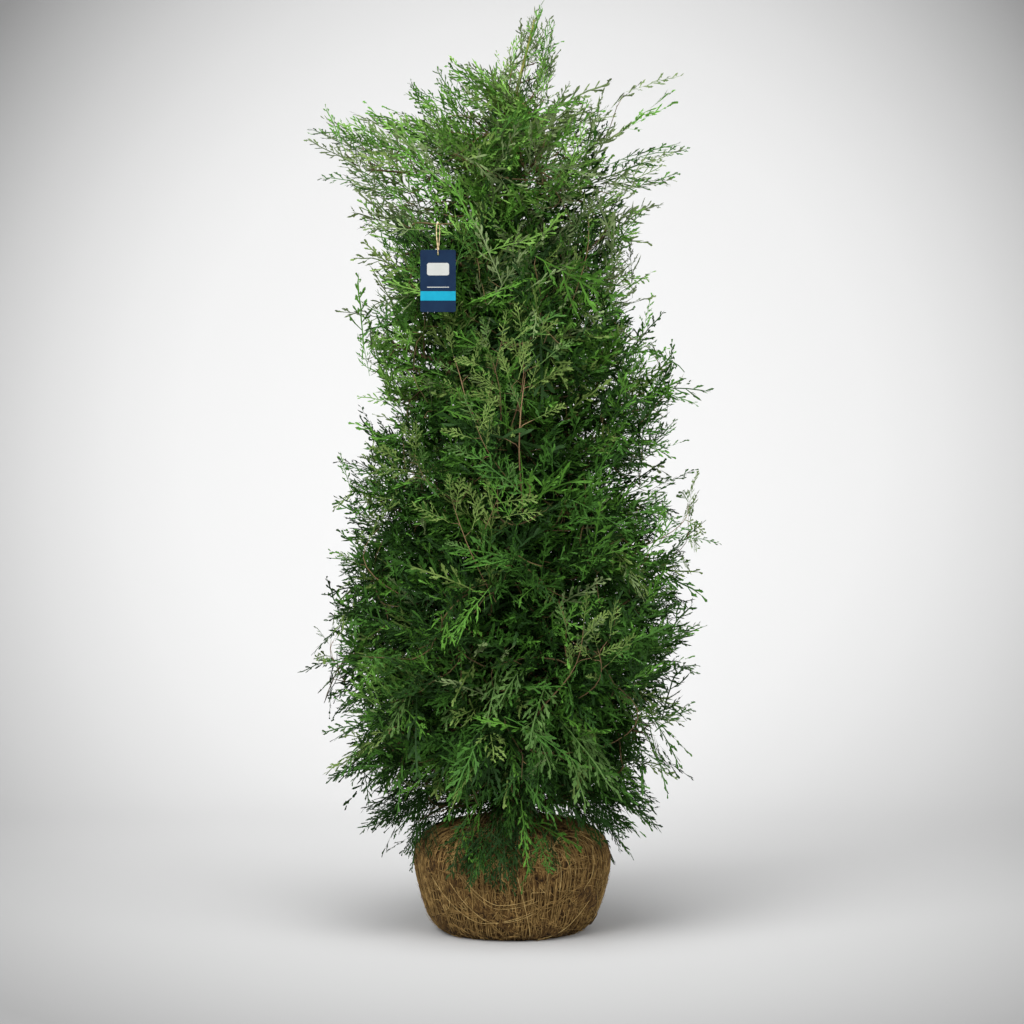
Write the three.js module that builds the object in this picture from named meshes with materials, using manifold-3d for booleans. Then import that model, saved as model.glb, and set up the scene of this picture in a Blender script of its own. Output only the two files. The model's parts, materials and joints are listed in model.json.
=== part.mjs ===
// Columnar conifer sapling standing on its netted root ball.
//
// Millimetres, +Z up, +X to the plant's right seen from the front, -Y towards the front.
// The origin is the middle of the flat underside of the root ball.
//
// A tapering trunk stands on the ball and runs whole up through the foliage to the leader.
// Boughs leave it in whorls, and each ends where it enters its mass of foliage. Every mass is
// a closed, uneven plume lofted along a curved spine, and is cut round whatever it would
// otherwise touch, with a thin gap left between the two.

import * as THREE from 'three';
import { mergeVertices } from 'three/addons/utils/BufferGeometryUtils.js';
import Module from 'manifold-3d';

const wasm = await Module();
wasm.setup();

// ---- Materials -------------------------------------------------------------------------------

const jute = { color: 0x6b5230, roughness: 0.95, metalness: 0 };
const bark = { color: 0x6f5a40, roughness: 0.9, metalness: 0 };
const foliage = { color: 0x2f5220, roughness: 0.7, metalness: 0 };
const freshFoliage = { color: 0x4f7a30, roughness: 0.7, metalness: 0 };
const card = { color: 0x203a55, roughness: 0.45, metalness: 0 };
const twine = { color: 0xb9a27c, roughness: 0.9, metalness: 0 };

// ---- Driving dimensions ----------------------------------------------------------------------

const SEAT_GAP = 0.35; // left between a piece and what carries it
const FOLIAGE_GAP = 3.2; // left between two masses, and round the boughs that pass a mass
const SLIVER = 2; // detail finer than this is smoothed away where masses have been cut
const WELD = 1e-4; // points nearer than this are one vertex

// Root ball: soil in a jute net, flat underneath, widest above the middle.
const BALL_FOOT_RADIUS = 101;
const BALL_BELLY_RADIUS = 145;
const BALL_BELLY_HEIGHT = 106;
const BALL_SHOULDER_RADIUS = 120;
const BALL_SHOULDER_HEIGHT = 152;
const BALL_TOP_HEIGHT = 170;
const BALL_SEAT_RADIUS = 38; // flat middle of the top, which carries the trunk and the collar
const BALL_FLANK_HEIGHT = 24; // where its side turns from the foot towards the belly
const BALL_FLANK_RADIUS = 124;
const BALL_UNEVENNESS = 0.009; // of each of two waves round the ball, of the local radius
const BALL_WAVE_START = 0.6; // radians by which the wave of two lobes is turned
const BALL_WAVE_TWIST = 40; // climb over which the wave of three lobes turns by a radian
const BALL_SIDES = 24;
const BALL_RINGS = 8;

// Jute gathered round the foot of the stem.
const COLLAR_RADIUS = 35;
const COLLAR_TAPER = 6; // by which its rim is narrower than its foot
const COLLAR_HEIGHT = 26;
const COLLAR_WALL = 4;
const COLLAR_SHOULDER_SHARE = 0.45; // of its height, up to where its side has drawn in most
const COLLAR_SHOULDER_TAPER = 0.4; // of its taper, left above there
const COLLAR_THROAT_SHARE = 0.6; // of its height, up to which it fits the stem closely
const COLLAR_SIDES = 18;

// Trunk.
const TRUNK_TOP_HEIGHT = 1365;
const TRUNK_RADIUS = 14; // above the root flare
const TRUNK_TIP_RADIUS = 1.6;
const TRUNK_TAPER_POWER = 0.9; // below 1 thins the stem a little sooner than evenly
const FLARE_RADIUS = 22;
const FLARE_HEIGHT = 60;
const FLARE_FADE = 3; // the flare is down to exp(-3) at that height
const TRUNK_SWAY = 7; // sideways wander of the stem on its way up
const TRUNK_SWAY_DEPTH = 4; // the same from front to back
const LEADER_LEAN = 34; // how far the leader's tip nods to the right
const LEADER_LEAN_START = 1180;
const TRUNK_SIDES = 10;
const TRUNK_RINGS = 12;
const TRUNK_RING_BUNCHING = 1.4; // above 1 draws the rings down into the flare

// Boughs.
const BOUGH_ROOT_RADIUS = 6;
const BOUGH_END_RADIUS = 3.6;
const BOUGH_DROP = 34; // how far below its mass a bough leaves the trunk
const BOUGH_ELBOW = 30; // from the bough's end back to the middle of its bend
const BOUGH_SIDES = 5;
const BOUGH_RINGS = 2;

// Foliage masses. Each whorl has the height that its spines climb from root to tip, the breadth
// and the depth of its masses at their fullest, and one entry for each mass: the compass angle
// in degrees (0 right, 90 back, 180 left, 270 front), the reach of the tip from the axis, and
// the tip's height. Whorls with boughs start clear of the trunk, the others start at its bark.
const WHORLS = [
  {
    name: 'skirt',
    finish: foliage,
    climb: -118,
    breadth: 225,
    depth: 112,
    boughs: false,
    tips: [[2, 218, 140], [92, 205, 142], [182, 200, 116], [268, 190, 92]],
  },
  {
    name: 'low',
    finish: foliage,
    climb: -62,
    breadth: 250,
    depth: 180,
    boughs: false,
    tips: [[345, 298, 272], [57, 266, 285], [129, 262, 262], [201, 284, 262], [273, 266, 250]],
  },
  {
    name: 'belly',
    finish: foliage,
    climb: -22,
    breadth: 250,
    depth: 190,
    boughs: true,
    tips: [[16, 322, 458], [92, 278, 452], [163, 333, 400], [236, 286, 440], [308, 288, 414]],
  },
  {
    name: 'middle',
    finish: foliage,
    climb: 28,
    breadth: 250,
    depth: 200,
    boughs: true,
    tips: [[342, 314, 604], [56, 272, 598], [128, 270, 566], [193, 316, 536], [268, 262, 592]],
  },
  {
    name: 'waist',
    finish: foliage,
    climb: 78,
    breadth: 268,
    depth: 228,
    boughs: true,
    tips: [[350, 290, 830], [82, 244, 766], [172, 262, 712], [262, 242, 768]],
  },
  {
    name: 'shoulder',
    finish: foliage,
    climb: 104,
    breadth: 252,
    depth: 224,
    boughs: false,
    tips: [[24, 232, 930], [112, 220, 952], [190, 258, 932], [285, 214, 946]],
  },
  {
    name: 'neck',
    finish: freshFoliage,
    climb: 118,
    breadth: 250,
    depth: 205,
    boughs: false,
    tips: [[345, 194, 1088], [95, 196, 1092], [214, 246, 1092]],
  },
  {
    name: 'plume',
    finish: freshFoliage,
    climb: 112,
    breadth: 200,
    depth: 160,
    boughs: true,
    tips: [[2, 282, 1266], [88, 208, 1246], [180, 298, 1220], [222, 168, 1318], [300, 180, 1232]],
  },
];
const MASS_INNER_REACH = 62; // from the axis to the root end of a mass that hangs on a bough
const MASS_FULLEST = 0.45; // share of the spine at which a mass is fullest
const MASS_BULGE = 0.7; // below 1 keeps a mass full towards its ends
const MASS_END_SHARE = 0.09; // girth of its blunt ends, of the fullest
const MASS_LUMP = 0.07; // of each of two waves over the surface, of the local girth
const MASS_LUMP_TWIST = 4; // radians by which the first wave turns along the spine
const MASS_LUMP_COUNTERTWIST = 9; // the same for the second, the other way
const MASS_PHASE_BY_ANGLE = 0.7; // these two give each mass lumps of its own
const MASS_PHASE_BY_HEIGHT = 0.13;
const SHOULDER_PLACE = 0.55; // where a spine bends, along the way from its root to its tip
const SHOULDER_RISE = 0.22; // how far it bends, of the whorl's climb, over a droop or under a rise
const MASS_RINGS = 5;
const MASS_SIDES = 8;

// Tuft of foliage round the leader.
const TUFT_FOOT_HEIGHT = 1168;
const TUFT_TIP_HEIGHT = 1395;
const TUFT_GIRTH = 88;

// Label card hanging on a loop of string at the front left.
const CARD_WIDTH = 51;
const CARD_HEIGHT = 89;
const CARD_THICKNESS = 0.8;
const CARD_CORNER = 3;
const CARD_HOLE_RADIUS = 2.5;
const CARD_HOLE_INSET = 6; // from the card's top edge to the middle of the hole
const CARD_CENTRE = new THREE.Vector3(-106, -180, 965);
const STRING_RADIUS = 0.8;
const STRING_WIDTH = 10;
const STRING_LENGTH = 46;
const STRING_SLACK = 1; // how far its foot lies below the middle of the hole
const STRING_SIDES = 5;
const STRING_STEPS = 16;

const tree = new THREE.Group();

function addPiece(name, geometry, finish) {
  const piece = new THREE.Mesh(geometry, new THREE.MeshStandardMaterial(finish));
  piece.name = name;
  tree.add(piece);
}

// ---- Solids and booleans ---------------------------------------------------------------------

// The bare skin of a geometry, with one vertex at each point.
function skinOf(geometry) {
  const bare = geometry.clone();
  bare.deleteAttribute('normal');
  bare.deleteAttribute('uv');
  return mergeVertices(bare, WELD);
}

// The same shape, a little larger all round: each vertex moves out along the mean of the
// directions that the faces round it look in.
function grown(geometry, gap) {
  const skin = skinOf(geometry);
  const position = skin.attributes.position;
  const corners = skin.index.array;
  const points = [];
  const directions = [];
  for (let i = 0; i < position.count; i += 1) {
    points.push(new THREE.Vector3().fromBufferAttribute(position, i));
    directions.push(new THREE.Vector3());
  }
  const face = new THREE.Triangle();
  const normal = new THREE.Vector3();
  for (let i = 0; i < corners.length; i += 3) {
    face.setFromPointsAndIndices(points, corners[i], corners[i + 1], corners[i + 2]);
    face.getNormal(normal);
    for (let k = 0; k < 3; k += 1) {
      directions[corners[i + k]].add(normal);
    }
  }
  const moved = points.map((point, i) => point.addScaledVector(directions[i].normalize(), gap));
  return indexedGeometry(moved, Array.from(corners));
}

function solidOf(geometry) {
  const skin = skinOf(geometry);
  const mesh = new wasm.Mesh({
    numProp: 3,
    vertProperties: Float32Array.from(skin.attributes.position.array),
    triVerts: Uint32Array.from(skin.index.array),
  });
  return new wasm.Manifold(mesh);
}

function cutterOf(geometry, gap) {
  return solidOf(grown(geometry, gap));
}

function geometryOf(solid) {
  const mesh = solid.getMesh();
  const geometry = new THREE.BufferGeometry();
  geometry.setAttribute('position', new THREE.BufferAttribute(mesh.vertProperties, 3));
  geometry.setIndex(new THREE.BufferAttribute(mesh.triVerts, 1));
  return geometry;
}

// The largest body left when the cutters are taken from a solid.
function cutRound(solid, cutters) {
  let rest = solid;
  for (const cutter of cutters) {
    rest = rest.subtract(cutter);
  }
  const bodies = rest.decompose();
  bodies.sort((a, b) => b.volume() - a.volume());
  return bodies[0];
}

// Triangles of the skin between rings of equal length that lie one after another in a list.
// Each ring runs anticlockwise seen from the next one.
function skinIndex(ringCount, sides, closed) {
  const index = [];
  const bands = closed ? ringCount : ringCount - 1;
  for (let band = 0; band < bands; band += 1) {
    const here = band * sides;
    const there = ((band + 1) % ringCount) * sides;
    for (let side = 0; side < sides; side += 1) {
      const next = (side + 1) % sides;
      index.push(here + side, here + next, there + next);
      index.push(here + side, there + next, there + side);
    }
  }
  return index;
}

function indexedGeometry(points, index) {
  const geometry = new THREE.BufferGeometry().setFromPoints(points);
  geometry.setIndex(index);
  return geometry;
}

// A closed tube through rings that come back to the first one.
function loop(rings) {
  return indexedGeometry(rings.flat(), skinIndex(rings.length, rings[0].length, true));
}

// A closed solid through a row of rings, with a fan over each end.
function loft(rings) {
  const sides = rings[0].length;
  const points = rings.flat();
  const lastRing = points.length - sides;
  const firstMiddle = points.length;
  const lastMiddle = firstMiddle + 1;
  points.push(middleOf(rings[0]));
  points.push(middleOf(rings[rings.length - 1]));
  const index = skinIndex(rings.length, sides, false);
  for (let side = 0; side < sides; side += 1) {
    const next = (side + 1) % sides;
    index.push(firstMiddle, next, side);
    index.push(lastMiddle, lastRing + side, lastRing + next);
  }
  return indexedGeometry(points, index);
}

function middleOf(points) {
  const sum = new THREE.Vector3();
  for (const point of points) {
    sum.add(point);
  }
  return sum.divideScalar(points.length);
}

// A ring of points round a centre, from the first direction towards the second. reachAt gives
// how far it goes along each of the two at an angle.
function ringAt(centre, first, second, sides, reachAt) {
  const ring = [];
  for (let k = 0; k < sides; k += 1) {
    const angle = (k / sides) * 2 * Math.PI;
    const [firstReach, secondReach] = reachAt(angle);
    const point = centre.clone();
    point.addScaledVector(first, firstReach * Math.cos(angle));
    point.addScaledVector(second, secondReach * Math.sin(angle));
    ring.push(point);
  }
  return ring;
}

// Rings square to a curve that stays in one upright plane, which across is level and square to.
function ringsAlong(curve, across, bands, sides, reachAt) {
  const rings = [];
  for (let i = 0; i <= bands; i += 1) {
    const along = i / bands;
    const up = new THREE.Vector3().crossVectors(curve.getTangent(along), across);
    const reachHere = (angle) => reachAt(along, angle);
    rings.push(ringAt(curve.getPoint(along), across, up, sides, reachHere));
  }
  return rings;
}

const X_AXIS = new THREE.Vector3(1, 0, 0);
const Y_AXIS = new THREE.Vector3(0, 1, 0);

// ---- Root ball and its collar ----------------------------------------------------------------

function ballGeometry() {
  const side = new THREE.SplineCurve([
    new THREE.Vector2(BALL_FOOT_RADIUS, 0),
    new THREE.Vector2(BALL_FLANK_RADIUS, BALL_FLANK_HEIGHT),
    new THREE.Vector2(BALL_BELLY_RADIUS, BALL_BELLY_HEIGHT),
    new THREE.Vector2(BALL_SHOULDER_RADIUS, BALL_SHOULDER_HEIGHT),
    new THREE.Vector2(BALL_SEAT_RADIUS, BALL_TOP_HEIGHT),
  ]);
  const rings = side.getPoints(BALL_RINGS).map(({ x: radius, y: height }) => {
    const centre = new THREE.Vector3(0, 0, height);
    return ringAt(centre, X_AXIS, Y_AXIS, BALL_SIDES, (angle) => {
      const twoLobed = Math.sin(2 * angle + BALL_WAVE_START);
      const threeLobed = Math.sin(3 * angle + height / BALL_WAVE_TWIST);
      const waves = twoLobed + threeLobed;
      const reach = radius * (1 + BALL_UNEVENNESS * waves);
      return [reach, reach];
    });
  });
  return loft(rings);
}

const ball = ballGeometry();
addPiece('root_ball', ball, jute);

function trunkRadius(height) {
  const share = (height - BALL_TOP_HEIGHT) / (TRUNK_TOP_HEIGHT - BALL_TOP_HEIGHT);
  const taper = THREE.MathUtils.lerp(TRUNK_RADIUS, TRUNK_TIP_RADIUS, Math.pow(share, TRUNK_TAPER_POWER));
  const flare = Math.exp((-FLARE_FADE * (height - BALL_TOP_HEIGHT)) / FLARE_HEIGHT);
  return taper + (FLARE_RADIUS - TRUNK_RADIUS) * flare;
}

function collarGeometry() {
  const foot = BALL_TOP_HEIGHT + SEAT_GAP;
  const inner = (trunkRadius(foot) + SEAT_GAP) / Math.cos(Math.PI / COLLAR_SIDES);
  const rim = COLLAR_RADIUS - COLLAR_TAPER;
  const profile = [
    new THREE.Vector2(inner, foot),
    new THREE.Vector2(COLLAR_RADIUS, foot),
    new THREE.Vector2(
      rim + COLLAR_TAPER * COLLAR_SHOULDER_TAPER,
      foot + COLLAR_HEIGHT * COLLAR_SHOULDER_SHARE,
    ),
    new THREE.Vector2(rim, foot + COLLAR_HEIGHT),
    new THREE.Vector2(rim - COLLAR_WALL, foot + COLLAR_HEIGHT),
    new THREE.Vector2(inner, foot + COLLAR_HEIGHT * COLLAR_THROAT_SHARE),
    new THREE.Vector2(inner, foot),
  ];
  const geometry = new THREE.LatheGeometry(profile, COLLAR_SIDES);
  geometry.rotateX(Math.PI / 2);
  return geometry;
}

const collar = collarGeometry();
addPiece('jute_collar', collar, jute);

// ---- Trunk -----------------------------------------------------------------------------------

function trunkAxis(height) {
  const share = (height - BALL_TOP_HEIGHT) / (TRUNK_TOP_HEIGHT - BALL_TOP_HEIGHT);
  const nod = Math.max(0, height - LEADER_LEAN_START) / (TRUNK_TOP_HEIGHT - LEADER_LEAN_START);
  const x = -TRUNK_SWAY * Math.sin(Math.PI * share) + LEADER_LEAN * nod * nod;
  const y = TRUNK_SWAY_DEPTH * Math.sin(2 * Math.PI * share);
  return new THREE.Vector3(x, y, height);
}

// Level rings, closer together in the root flare.
function trunkGeometry() {
  const rings = [];
  for (let i = 0; i <= TRUNK_RINGS; i += 1) {
    const share = Math.pow(i / TRUNK_RINGS, TRUNK_RING_BUNCHING);
    const foot = BALL_TOP_HEIGHT + SEAT_GAP;
    const height = THREE.MathUtils.lerp(foot, TRUNK_TOP_HEIGHT, share);
    const radius = trunkRadius(height);
    rings.push(ringAt(trunkAxis(height), X_AXIS, Y_AXIS, TRUNK_SIDES, () => [radius, radius]));
  }
  return loft(rings);
}

const trunk = trunkGeometry();
addPiece('trunk', trunk, bark);

// ---- Foliage masses --------------------------------------------------------------------------

function compass(degrees) {
  const angle = THREE.MathUtils.degToRad(degrees);
  return new THREE.Vector3(Math.cos(angle), Math.sin(angle), 0);
}

// The masses of one whorl as spines with a girth: from the root end near the trunk, out and
// over a shoulder, to the tip.
function whorlMasses(whorl) {
  const innerReach = whorl.boughs ? MASS_INNER_REACH : 0;
  return whorl.tips.map(([degrees, reach, tipHeight], index) => {
    const outward = compass(degrees);
    const rootHeight = tipHeight - whorl.climb;
    const root = outward.clone().multiplyScalar(innerReach).add(trunkAxis(rootHeight));
    const tip = outward.clone().multiplyScalar(reach).setZ(tipHeight);
    const shoulder = root.clone().lerp(tip, SHOULDER_PLACE);
    shoulder.z -= SHOULDER_RISE * whorl.climb;
    return {
      name: `foliage_${whorl.name}_${index + 1}`,
      limb: whorl.boughs ? `bough_${whorl.name}_${index + 1}` : null,
      rootHeight,
      spine: new THREE.QuadraticBezierCurve3(root, shoulder, tip),
      across: new THREE.Vector3(-outward.y, outward.x, 0),
      breadth: whorl.breadth,
      depth: whorl.depth,
      phase: degrees * MASS_PHASE_BY_ANGLE + tipHeight * MASS_PHASE_BY_HEIGHT,
      finish: whorl.finish,
    };
  });
}

// Share of a mass's full girth at a place along its spine.
function girthShare(along) {
  const skew = Math.pow(along, Math.log(0.5) / Math.log(MASS_FULLEST));
  const swell = Math.pow(Math.sin(Math.PI * skew), MASS_BULGE);
  return MASS_END_SHARE + (1 - MASS_END_SHARE) * swell;
}

function massGeometry(mass) {
  const reachAt = (along, angle) => {
    const twoLobed = Math.sin(2 * angle + MASS_LUMP_TWIST * along + mass.phase);
    const threeLobed = Math.sin(3 * angle - MASS_LUMP_COUNTERTWIST * along);
    const share = (girthShare(along) * (1 + MASS_LUMP * (twoLobed + threeLobed))) / 2;
    return [share * mass.breadth, share * mass.depth];
  };
  return loft(ringsAlong(mass.spine, mass.across, MASS_RINGS, MASS_SIDES, reachAt));
}

const tuft = {
  name: 'foliage_leader',
  limb: null,
  spine: new THREE.CatmullRomCurve3([
    trunkAxis(TUFT_FOOT_HEIGHT),
    trunkAxis((TUFT_FOOT_HEIGHT + TUFT_TIP_HEIGHT) / 2),
    trunkAxis(TRUNK_TOP_HEIGHT),
    trunkAxis(TUFT_TIP_HEIGHT),
  ]),
  across: X_AXIS,
  breadth: TUFT_GIRTH,
  depth: TUFT_GIRTH,
  phase: 1,
  finish: freshFoliage,
};

// ---- Boughs ----------------------------------------------------------------------------------

// One tapering limb that leaves the trunk below its mass, rises towards it and ends square to
// the blunt root end of the mass.
function boughGeometry(mass) {
  const start = trunkAxis(mass.rootHeight - BOUGH_DROP);
  const inward = mass.spine.getTangent(0).negate();
  const end = mass.spine.getPoint(0).addScaledVector(inward, SEAT_GAP);
  const elbow = end.clone().addScaledVector(inward, BOUGH_ELBOW);
  const line = new THREE.QuadraticBezierCurve3(start, elbow, end);
  const reachAt = (along) => {
    const radius = THREE.MathUtils.lerp(BOUGH_ROOT_RADIUS, BOUGH_END_RADIUS, along);
    return [radius, radius];
  };
  return loft(ringsAlong(line, mass.across, BOUGH_RINGS, BOUGH_SIDES, reachAt));
}

// ---- Label card and its string ---------------------------------------------------------------

function cardGeometry() {
  const x = CARD_WIDTH / 2;
  const y = CARD_HEIGHT / 2;
  const r = CARD_CORNER;
  const outline = new THREE.Shape();
  outline.moveTo(-x + r, -y);
  outline.lineTo(x - r, -y);
  outline.absarc(x - r, -y + r, r, -Math.PI / 2, 0, false);
  outline.absarc(x - r, y - r, r, 0, Math.PI / 2, false);
  outline.absarc(-x + r, y - r, r, Math.PI / 2, Math.PI, false);
  outline.absarc(-x + r, -y + r, r, Math.PI, 1.5 * Math.PI, false);
  const hole = new THREE.Path();
  hole.absarc(0, y - CARD_HOLE_INSET, CARD_HOLE_RADIUS, 0, 2 * Math.PI, true);
  outline.holes.push(hole);
  const settings = { depth: CARD_THICKNESS, bevelEnabled: false, curveSegments: 4 };
  const geometry = new THREE.ExtrudeGeometry(outline, settings);
  geometry.translate(0, 0, -CARD_THICKNESS / 2);
  geometry.rotateX(Math.PI / 2);
  geometry.translate(CARD_CENTRE.x, CARD_CENTRE.y, CARD_CENTRE.z);
  return geometry;
}

// A slim closed loop that stands in the plane across the card and passes through its hole.
function stringGeometry() {
  const middle = CARD_CENTRE.clone();
  middle.z += CARD_HEIGHT / 2 - CARD_HOLE_INSET - STRING_SLACK + STRING_LENGTH / 2;
  const rings = [];
  for (let i = 0; i < STRING_STEPS; i += 1) {
    const turn = (i / STRING_STEPS) * 2 * Math.PI;
    const outward = new THREE.Vector3(0, Math.sin(turn), -Math.cos(turn));
    const centre = middle.clone();
    centre.y += (STRING_WIDTH / 2) * Math.sin(turn);
    centre.z -= (STRING_LENGTH / 2) * Math.cos(turn);
    const reachAt = () => [STRING_RADIUS, STRING_RADIUS];
    rings.push(ringAt(centre, X_AXIS, outward, STRING_SIDES, reachAt));
  }
  return loop(rings);
}

// ---- Assembly --------------------------------------------------------------------------------

const masses = WHORLS.flatMap(whorlMasses);
masses.push(tuft);
const limbed = masses.filter((mass) => mass.limb);
for (const mass of limbed) {
  mass.bough = boughGeometry(mass);
}

// Each mass is first cut round the masses before it and the boughs of the others, and then
// more closely round the stem, the ball and the label, which it may rest on or carry.
const cardSkin = cardGeometry();
const stringSkin = stringGeometry();
const stemCutters = [ball, collar, trunk].map((skin) => cutterOf(skin, SEAT_GAP));
const labelCutters = [cardSkin, stringSkin].map((skin) => cutterOf(skin, SEAT_GAP));
const massCutters = [];
for (const mass of masses) {
  const skin = massGeometry(mass);
  const others = limbed.filter((other) => other !== mass);
  const boughCutters = others.map((other) => cutterOf(other.bough, FOLIAGE_GAP));
  const rough = cutRound(solidOf(skin), [...massCutters, ...boughCutters]);
  const smooth = rough.asOriginal().simplify(SLIVER);
  const solid = cutRound(smooth, [...stemCutters, ...labelCutters]);
  addPiece(mass.name, geometryOf(solid), mass.finish);
  massCutters.push(cutterOf(skin, FOLIAGE_GAP));
}

for (const mass of limbed) {
  addPiece(mass.limb, geometryOf(cutRound(solidOf(mass.bough), stemCutters)), bark);
}

addPiece('label_card', cardSkin, card);
addPiece('label_string', stringSkin, twine);

export default tree;
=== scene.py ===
"""Looks of a conifer sapling that stands on its netted root ball.

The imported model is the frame. Its trunk and boughs get bark, and each mass of foliage is
replaced by limbs, twigs and flat sprays that grow inside the mass up to its surface. The root
ball becomes netted soil with loose fibres, and the label a printed card on a loop of string.
"""

import json
from collections import namedtuple
from functools import cache
from math import atan2, cos, pi, radians, sin

import bpy
import numpy as np
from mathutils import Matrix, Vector, noise
from mathutils.bvhtree import BVHTree
from numpy.linalg import norm

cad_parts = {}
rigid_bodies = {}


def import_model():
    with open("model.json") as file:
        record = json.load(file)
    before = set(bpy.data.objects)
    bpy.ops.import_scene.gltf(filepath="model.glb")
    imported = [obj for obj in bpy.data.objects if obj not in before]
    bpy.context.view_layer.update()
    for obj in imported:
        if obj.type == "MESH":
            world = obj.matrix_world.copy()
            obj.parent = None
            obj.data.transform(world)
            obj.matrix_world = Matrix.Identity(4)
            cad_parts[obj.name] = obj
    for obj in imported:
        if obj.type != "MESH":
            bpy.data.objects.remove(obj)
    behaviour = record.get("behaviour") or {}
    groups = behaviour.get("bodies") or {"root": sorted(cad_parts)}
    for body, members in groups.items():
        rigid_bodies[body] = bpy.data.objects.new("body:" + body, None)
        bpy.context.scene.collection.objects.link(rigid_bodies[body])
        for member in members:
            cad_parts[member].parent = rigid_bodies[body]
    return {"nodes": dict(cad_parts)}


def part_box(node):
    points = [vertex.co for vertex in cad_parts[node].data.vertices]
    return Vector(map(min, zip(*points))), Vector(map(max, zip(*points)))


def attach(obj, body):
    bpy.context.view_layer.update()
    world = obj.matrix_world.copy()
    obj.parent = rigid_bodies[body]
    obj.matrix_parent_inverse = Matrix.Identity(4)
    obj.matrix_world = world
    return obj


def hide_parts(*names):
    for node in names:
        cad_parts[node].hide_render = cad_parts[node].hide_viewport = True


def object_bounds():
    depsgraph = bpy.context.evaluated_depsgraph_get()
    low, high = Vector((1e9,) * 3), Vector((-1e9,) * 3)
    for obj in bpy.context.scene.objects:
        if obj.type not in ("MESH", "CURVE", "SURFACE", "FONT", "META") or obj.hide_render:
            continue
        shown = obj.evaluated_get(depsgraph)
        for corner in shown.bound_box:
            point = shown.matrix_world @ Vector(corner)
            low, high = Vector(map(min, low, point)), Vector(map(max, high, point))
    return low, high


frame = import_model()
cad_low, cad_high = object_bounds()

SEED = 20
UP = np.array([0.0, 0.0, 1.0])
BACK = np.array([0.0, 1.0, 0.0])
PIECE_LIMIT = 190_000  # triangles in one joined piece

# ---- Vectors, meshes and tubes ---------------------------------------------------------------


def unit(v):
    return v / max(norm(v), 1e-9)


def units(rows):
    return rows / np.maximum(norm(rows, axis=-1, keepdims=True), 1e-9)


def ways_along(line):
    return units(np.gradient(line, axis=0))


def compass(angle):
    """The level way at a compass angle, in radians from +X."""
    return np.array([cos(angle), sin(angle), 0.0])


def nearest_on(line, point):
    return line[np.argmin(norm(line - point, axis=1))]


def seeded(job):
    """Random numbers of its own for each job, the same in each run."""
    return np.random.default_rng(SEED + job)


def box_of(node):
    low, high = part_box(node)
    return np.array(low), np.array(high)


def node_mesh(name):
    """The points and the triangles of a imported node."""
    mesh = frame["nodes"][name].data
    mesh.calc_loop_triangles()
    points = np.zeros(3 * len(mesh.vertices))
    corners = np.zeros(3 * len(mesh.loop_triangles), np.int32)
    mesh.vertices.foreach_get("co", points)
    mesh.loop_triangles.foreach_get("vertices", corners)
    return points.reshape(-1, 3), corners.reshape(-1, 3)


def level_rings(name):
    """The height and the points, seen from above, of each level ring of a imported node."""
    points, _ = node_mesh(name)
    for height in np.unique(np.round(points[:, 2], 5)):
        yield height, points[np.abs(points[:, 2] - height) < 1e-5][:, :2]


def mesh_object(name, points, triangles, material):
    mesh = bpy.data.meshes.new(name)
    mesh.vertices.add(len(points))
    mesh.vertices.foreach_set("co", np.asarray(points, np.float32).ravel())
    mesh.loops.add(3 * len(triangles))
    mesh.loops.foreach_set("vertex_index", np.asarray(triangles, np.int32).ravel())
    mesh.polygons.add(len(triangles))
    starts = np.arange(0, 3 * len(triangles), 3, dtype=np.int32)
    mesh.polygons.foreach_set("loop_start", starts)
    mesh.update(calc_edges=True)
    mesh.materials.append(material)
    made = bpy.data.objects.new(name, mesh)
    bpy.context.scene.collection.objects.link(made)
    return made


def add_piece(name, points, triangles, material, slot, nodes=()):
    """A piece on the one body that stands for the CAD nodes given. Its slot is not used."""
    piece = mesh_object(name, points, triangles, material)
    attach(piece, "root")
    if nodes:
        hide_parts(*nodes)
    return piece


class Heap:
    """Triangles gathered from many small shapes, which become one piece, or a few large ones."""

    def __init__(self):
        self.shapes = []
        self.count = 0

    def add(self, shape):
        points, triangles = shape
        self.shapes.append((points, triangles + self.count))
        self.count += len(points)

    def joined(self):
        return tuple(np.concatenate(part) for part in zip(*self.shapes))

    def build(self, name, material, slot, nodes=()):
        """Numbered pieces that each stay under the limit. The first stands for the nodes."""
        runs = [[]]
        size = 0
        for shape in self.shapes:
            size += len(shape[1])
            if size > PIECE_LIMIT:
                runs.append([])
                size = len(shape[1])
            runs[-1].append(shape)
        for number, run in enumerate(runs, 1):
            points, triangles = (np.concatenate(part) for part in zip(*run))
            label = name if len(runs) == 1 else f"{name}_{number}"
            add_piece(label, points, triangles - triangles.min(), material, slot, nodes)
            nodes = ()


def bands(rings, sides, closed=False):
    """Triangles between each ring of points and the next, and from the last to the first."""
    here = np.arange(sides)
    after = (here + 1) % sides
    faces = []
    for ring in range(rings if closed else rings - 1):
        low = ring * sides
        high = (ring + 1) % rings * sides
        faces.append(np.stack([low + here, low + after, high + after], axis=1))
        faces.append(np.stack([low + here, high + after, high + here], axis=1))
    return np.concatenate(faces)


@cache
def capped_bands(rings, sides):
    """Bands, then a cone from the last ring to the next point, and a cap from the first ring."""
    here = np.arange(sides)
    after = (here + 1) % sides
    top = (rings - 1) * sides
    tip = np.full(sides, rings * sides)
    cone = np.stack([top + here, top + after, tip], axis=1)
    cap = np.stack([after, here, tip + 1], axis=1)
    return np.concatenate([bands(rings, sides), cone, cap])


def ladder(pairs):
    """Triangles between successive pairs of points."""
    return [t for a in range(0, 2 * pairs - 2, 2) for t in ((a, a + 1, a + 3), (a, a + 3, a + 2))]


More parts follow.
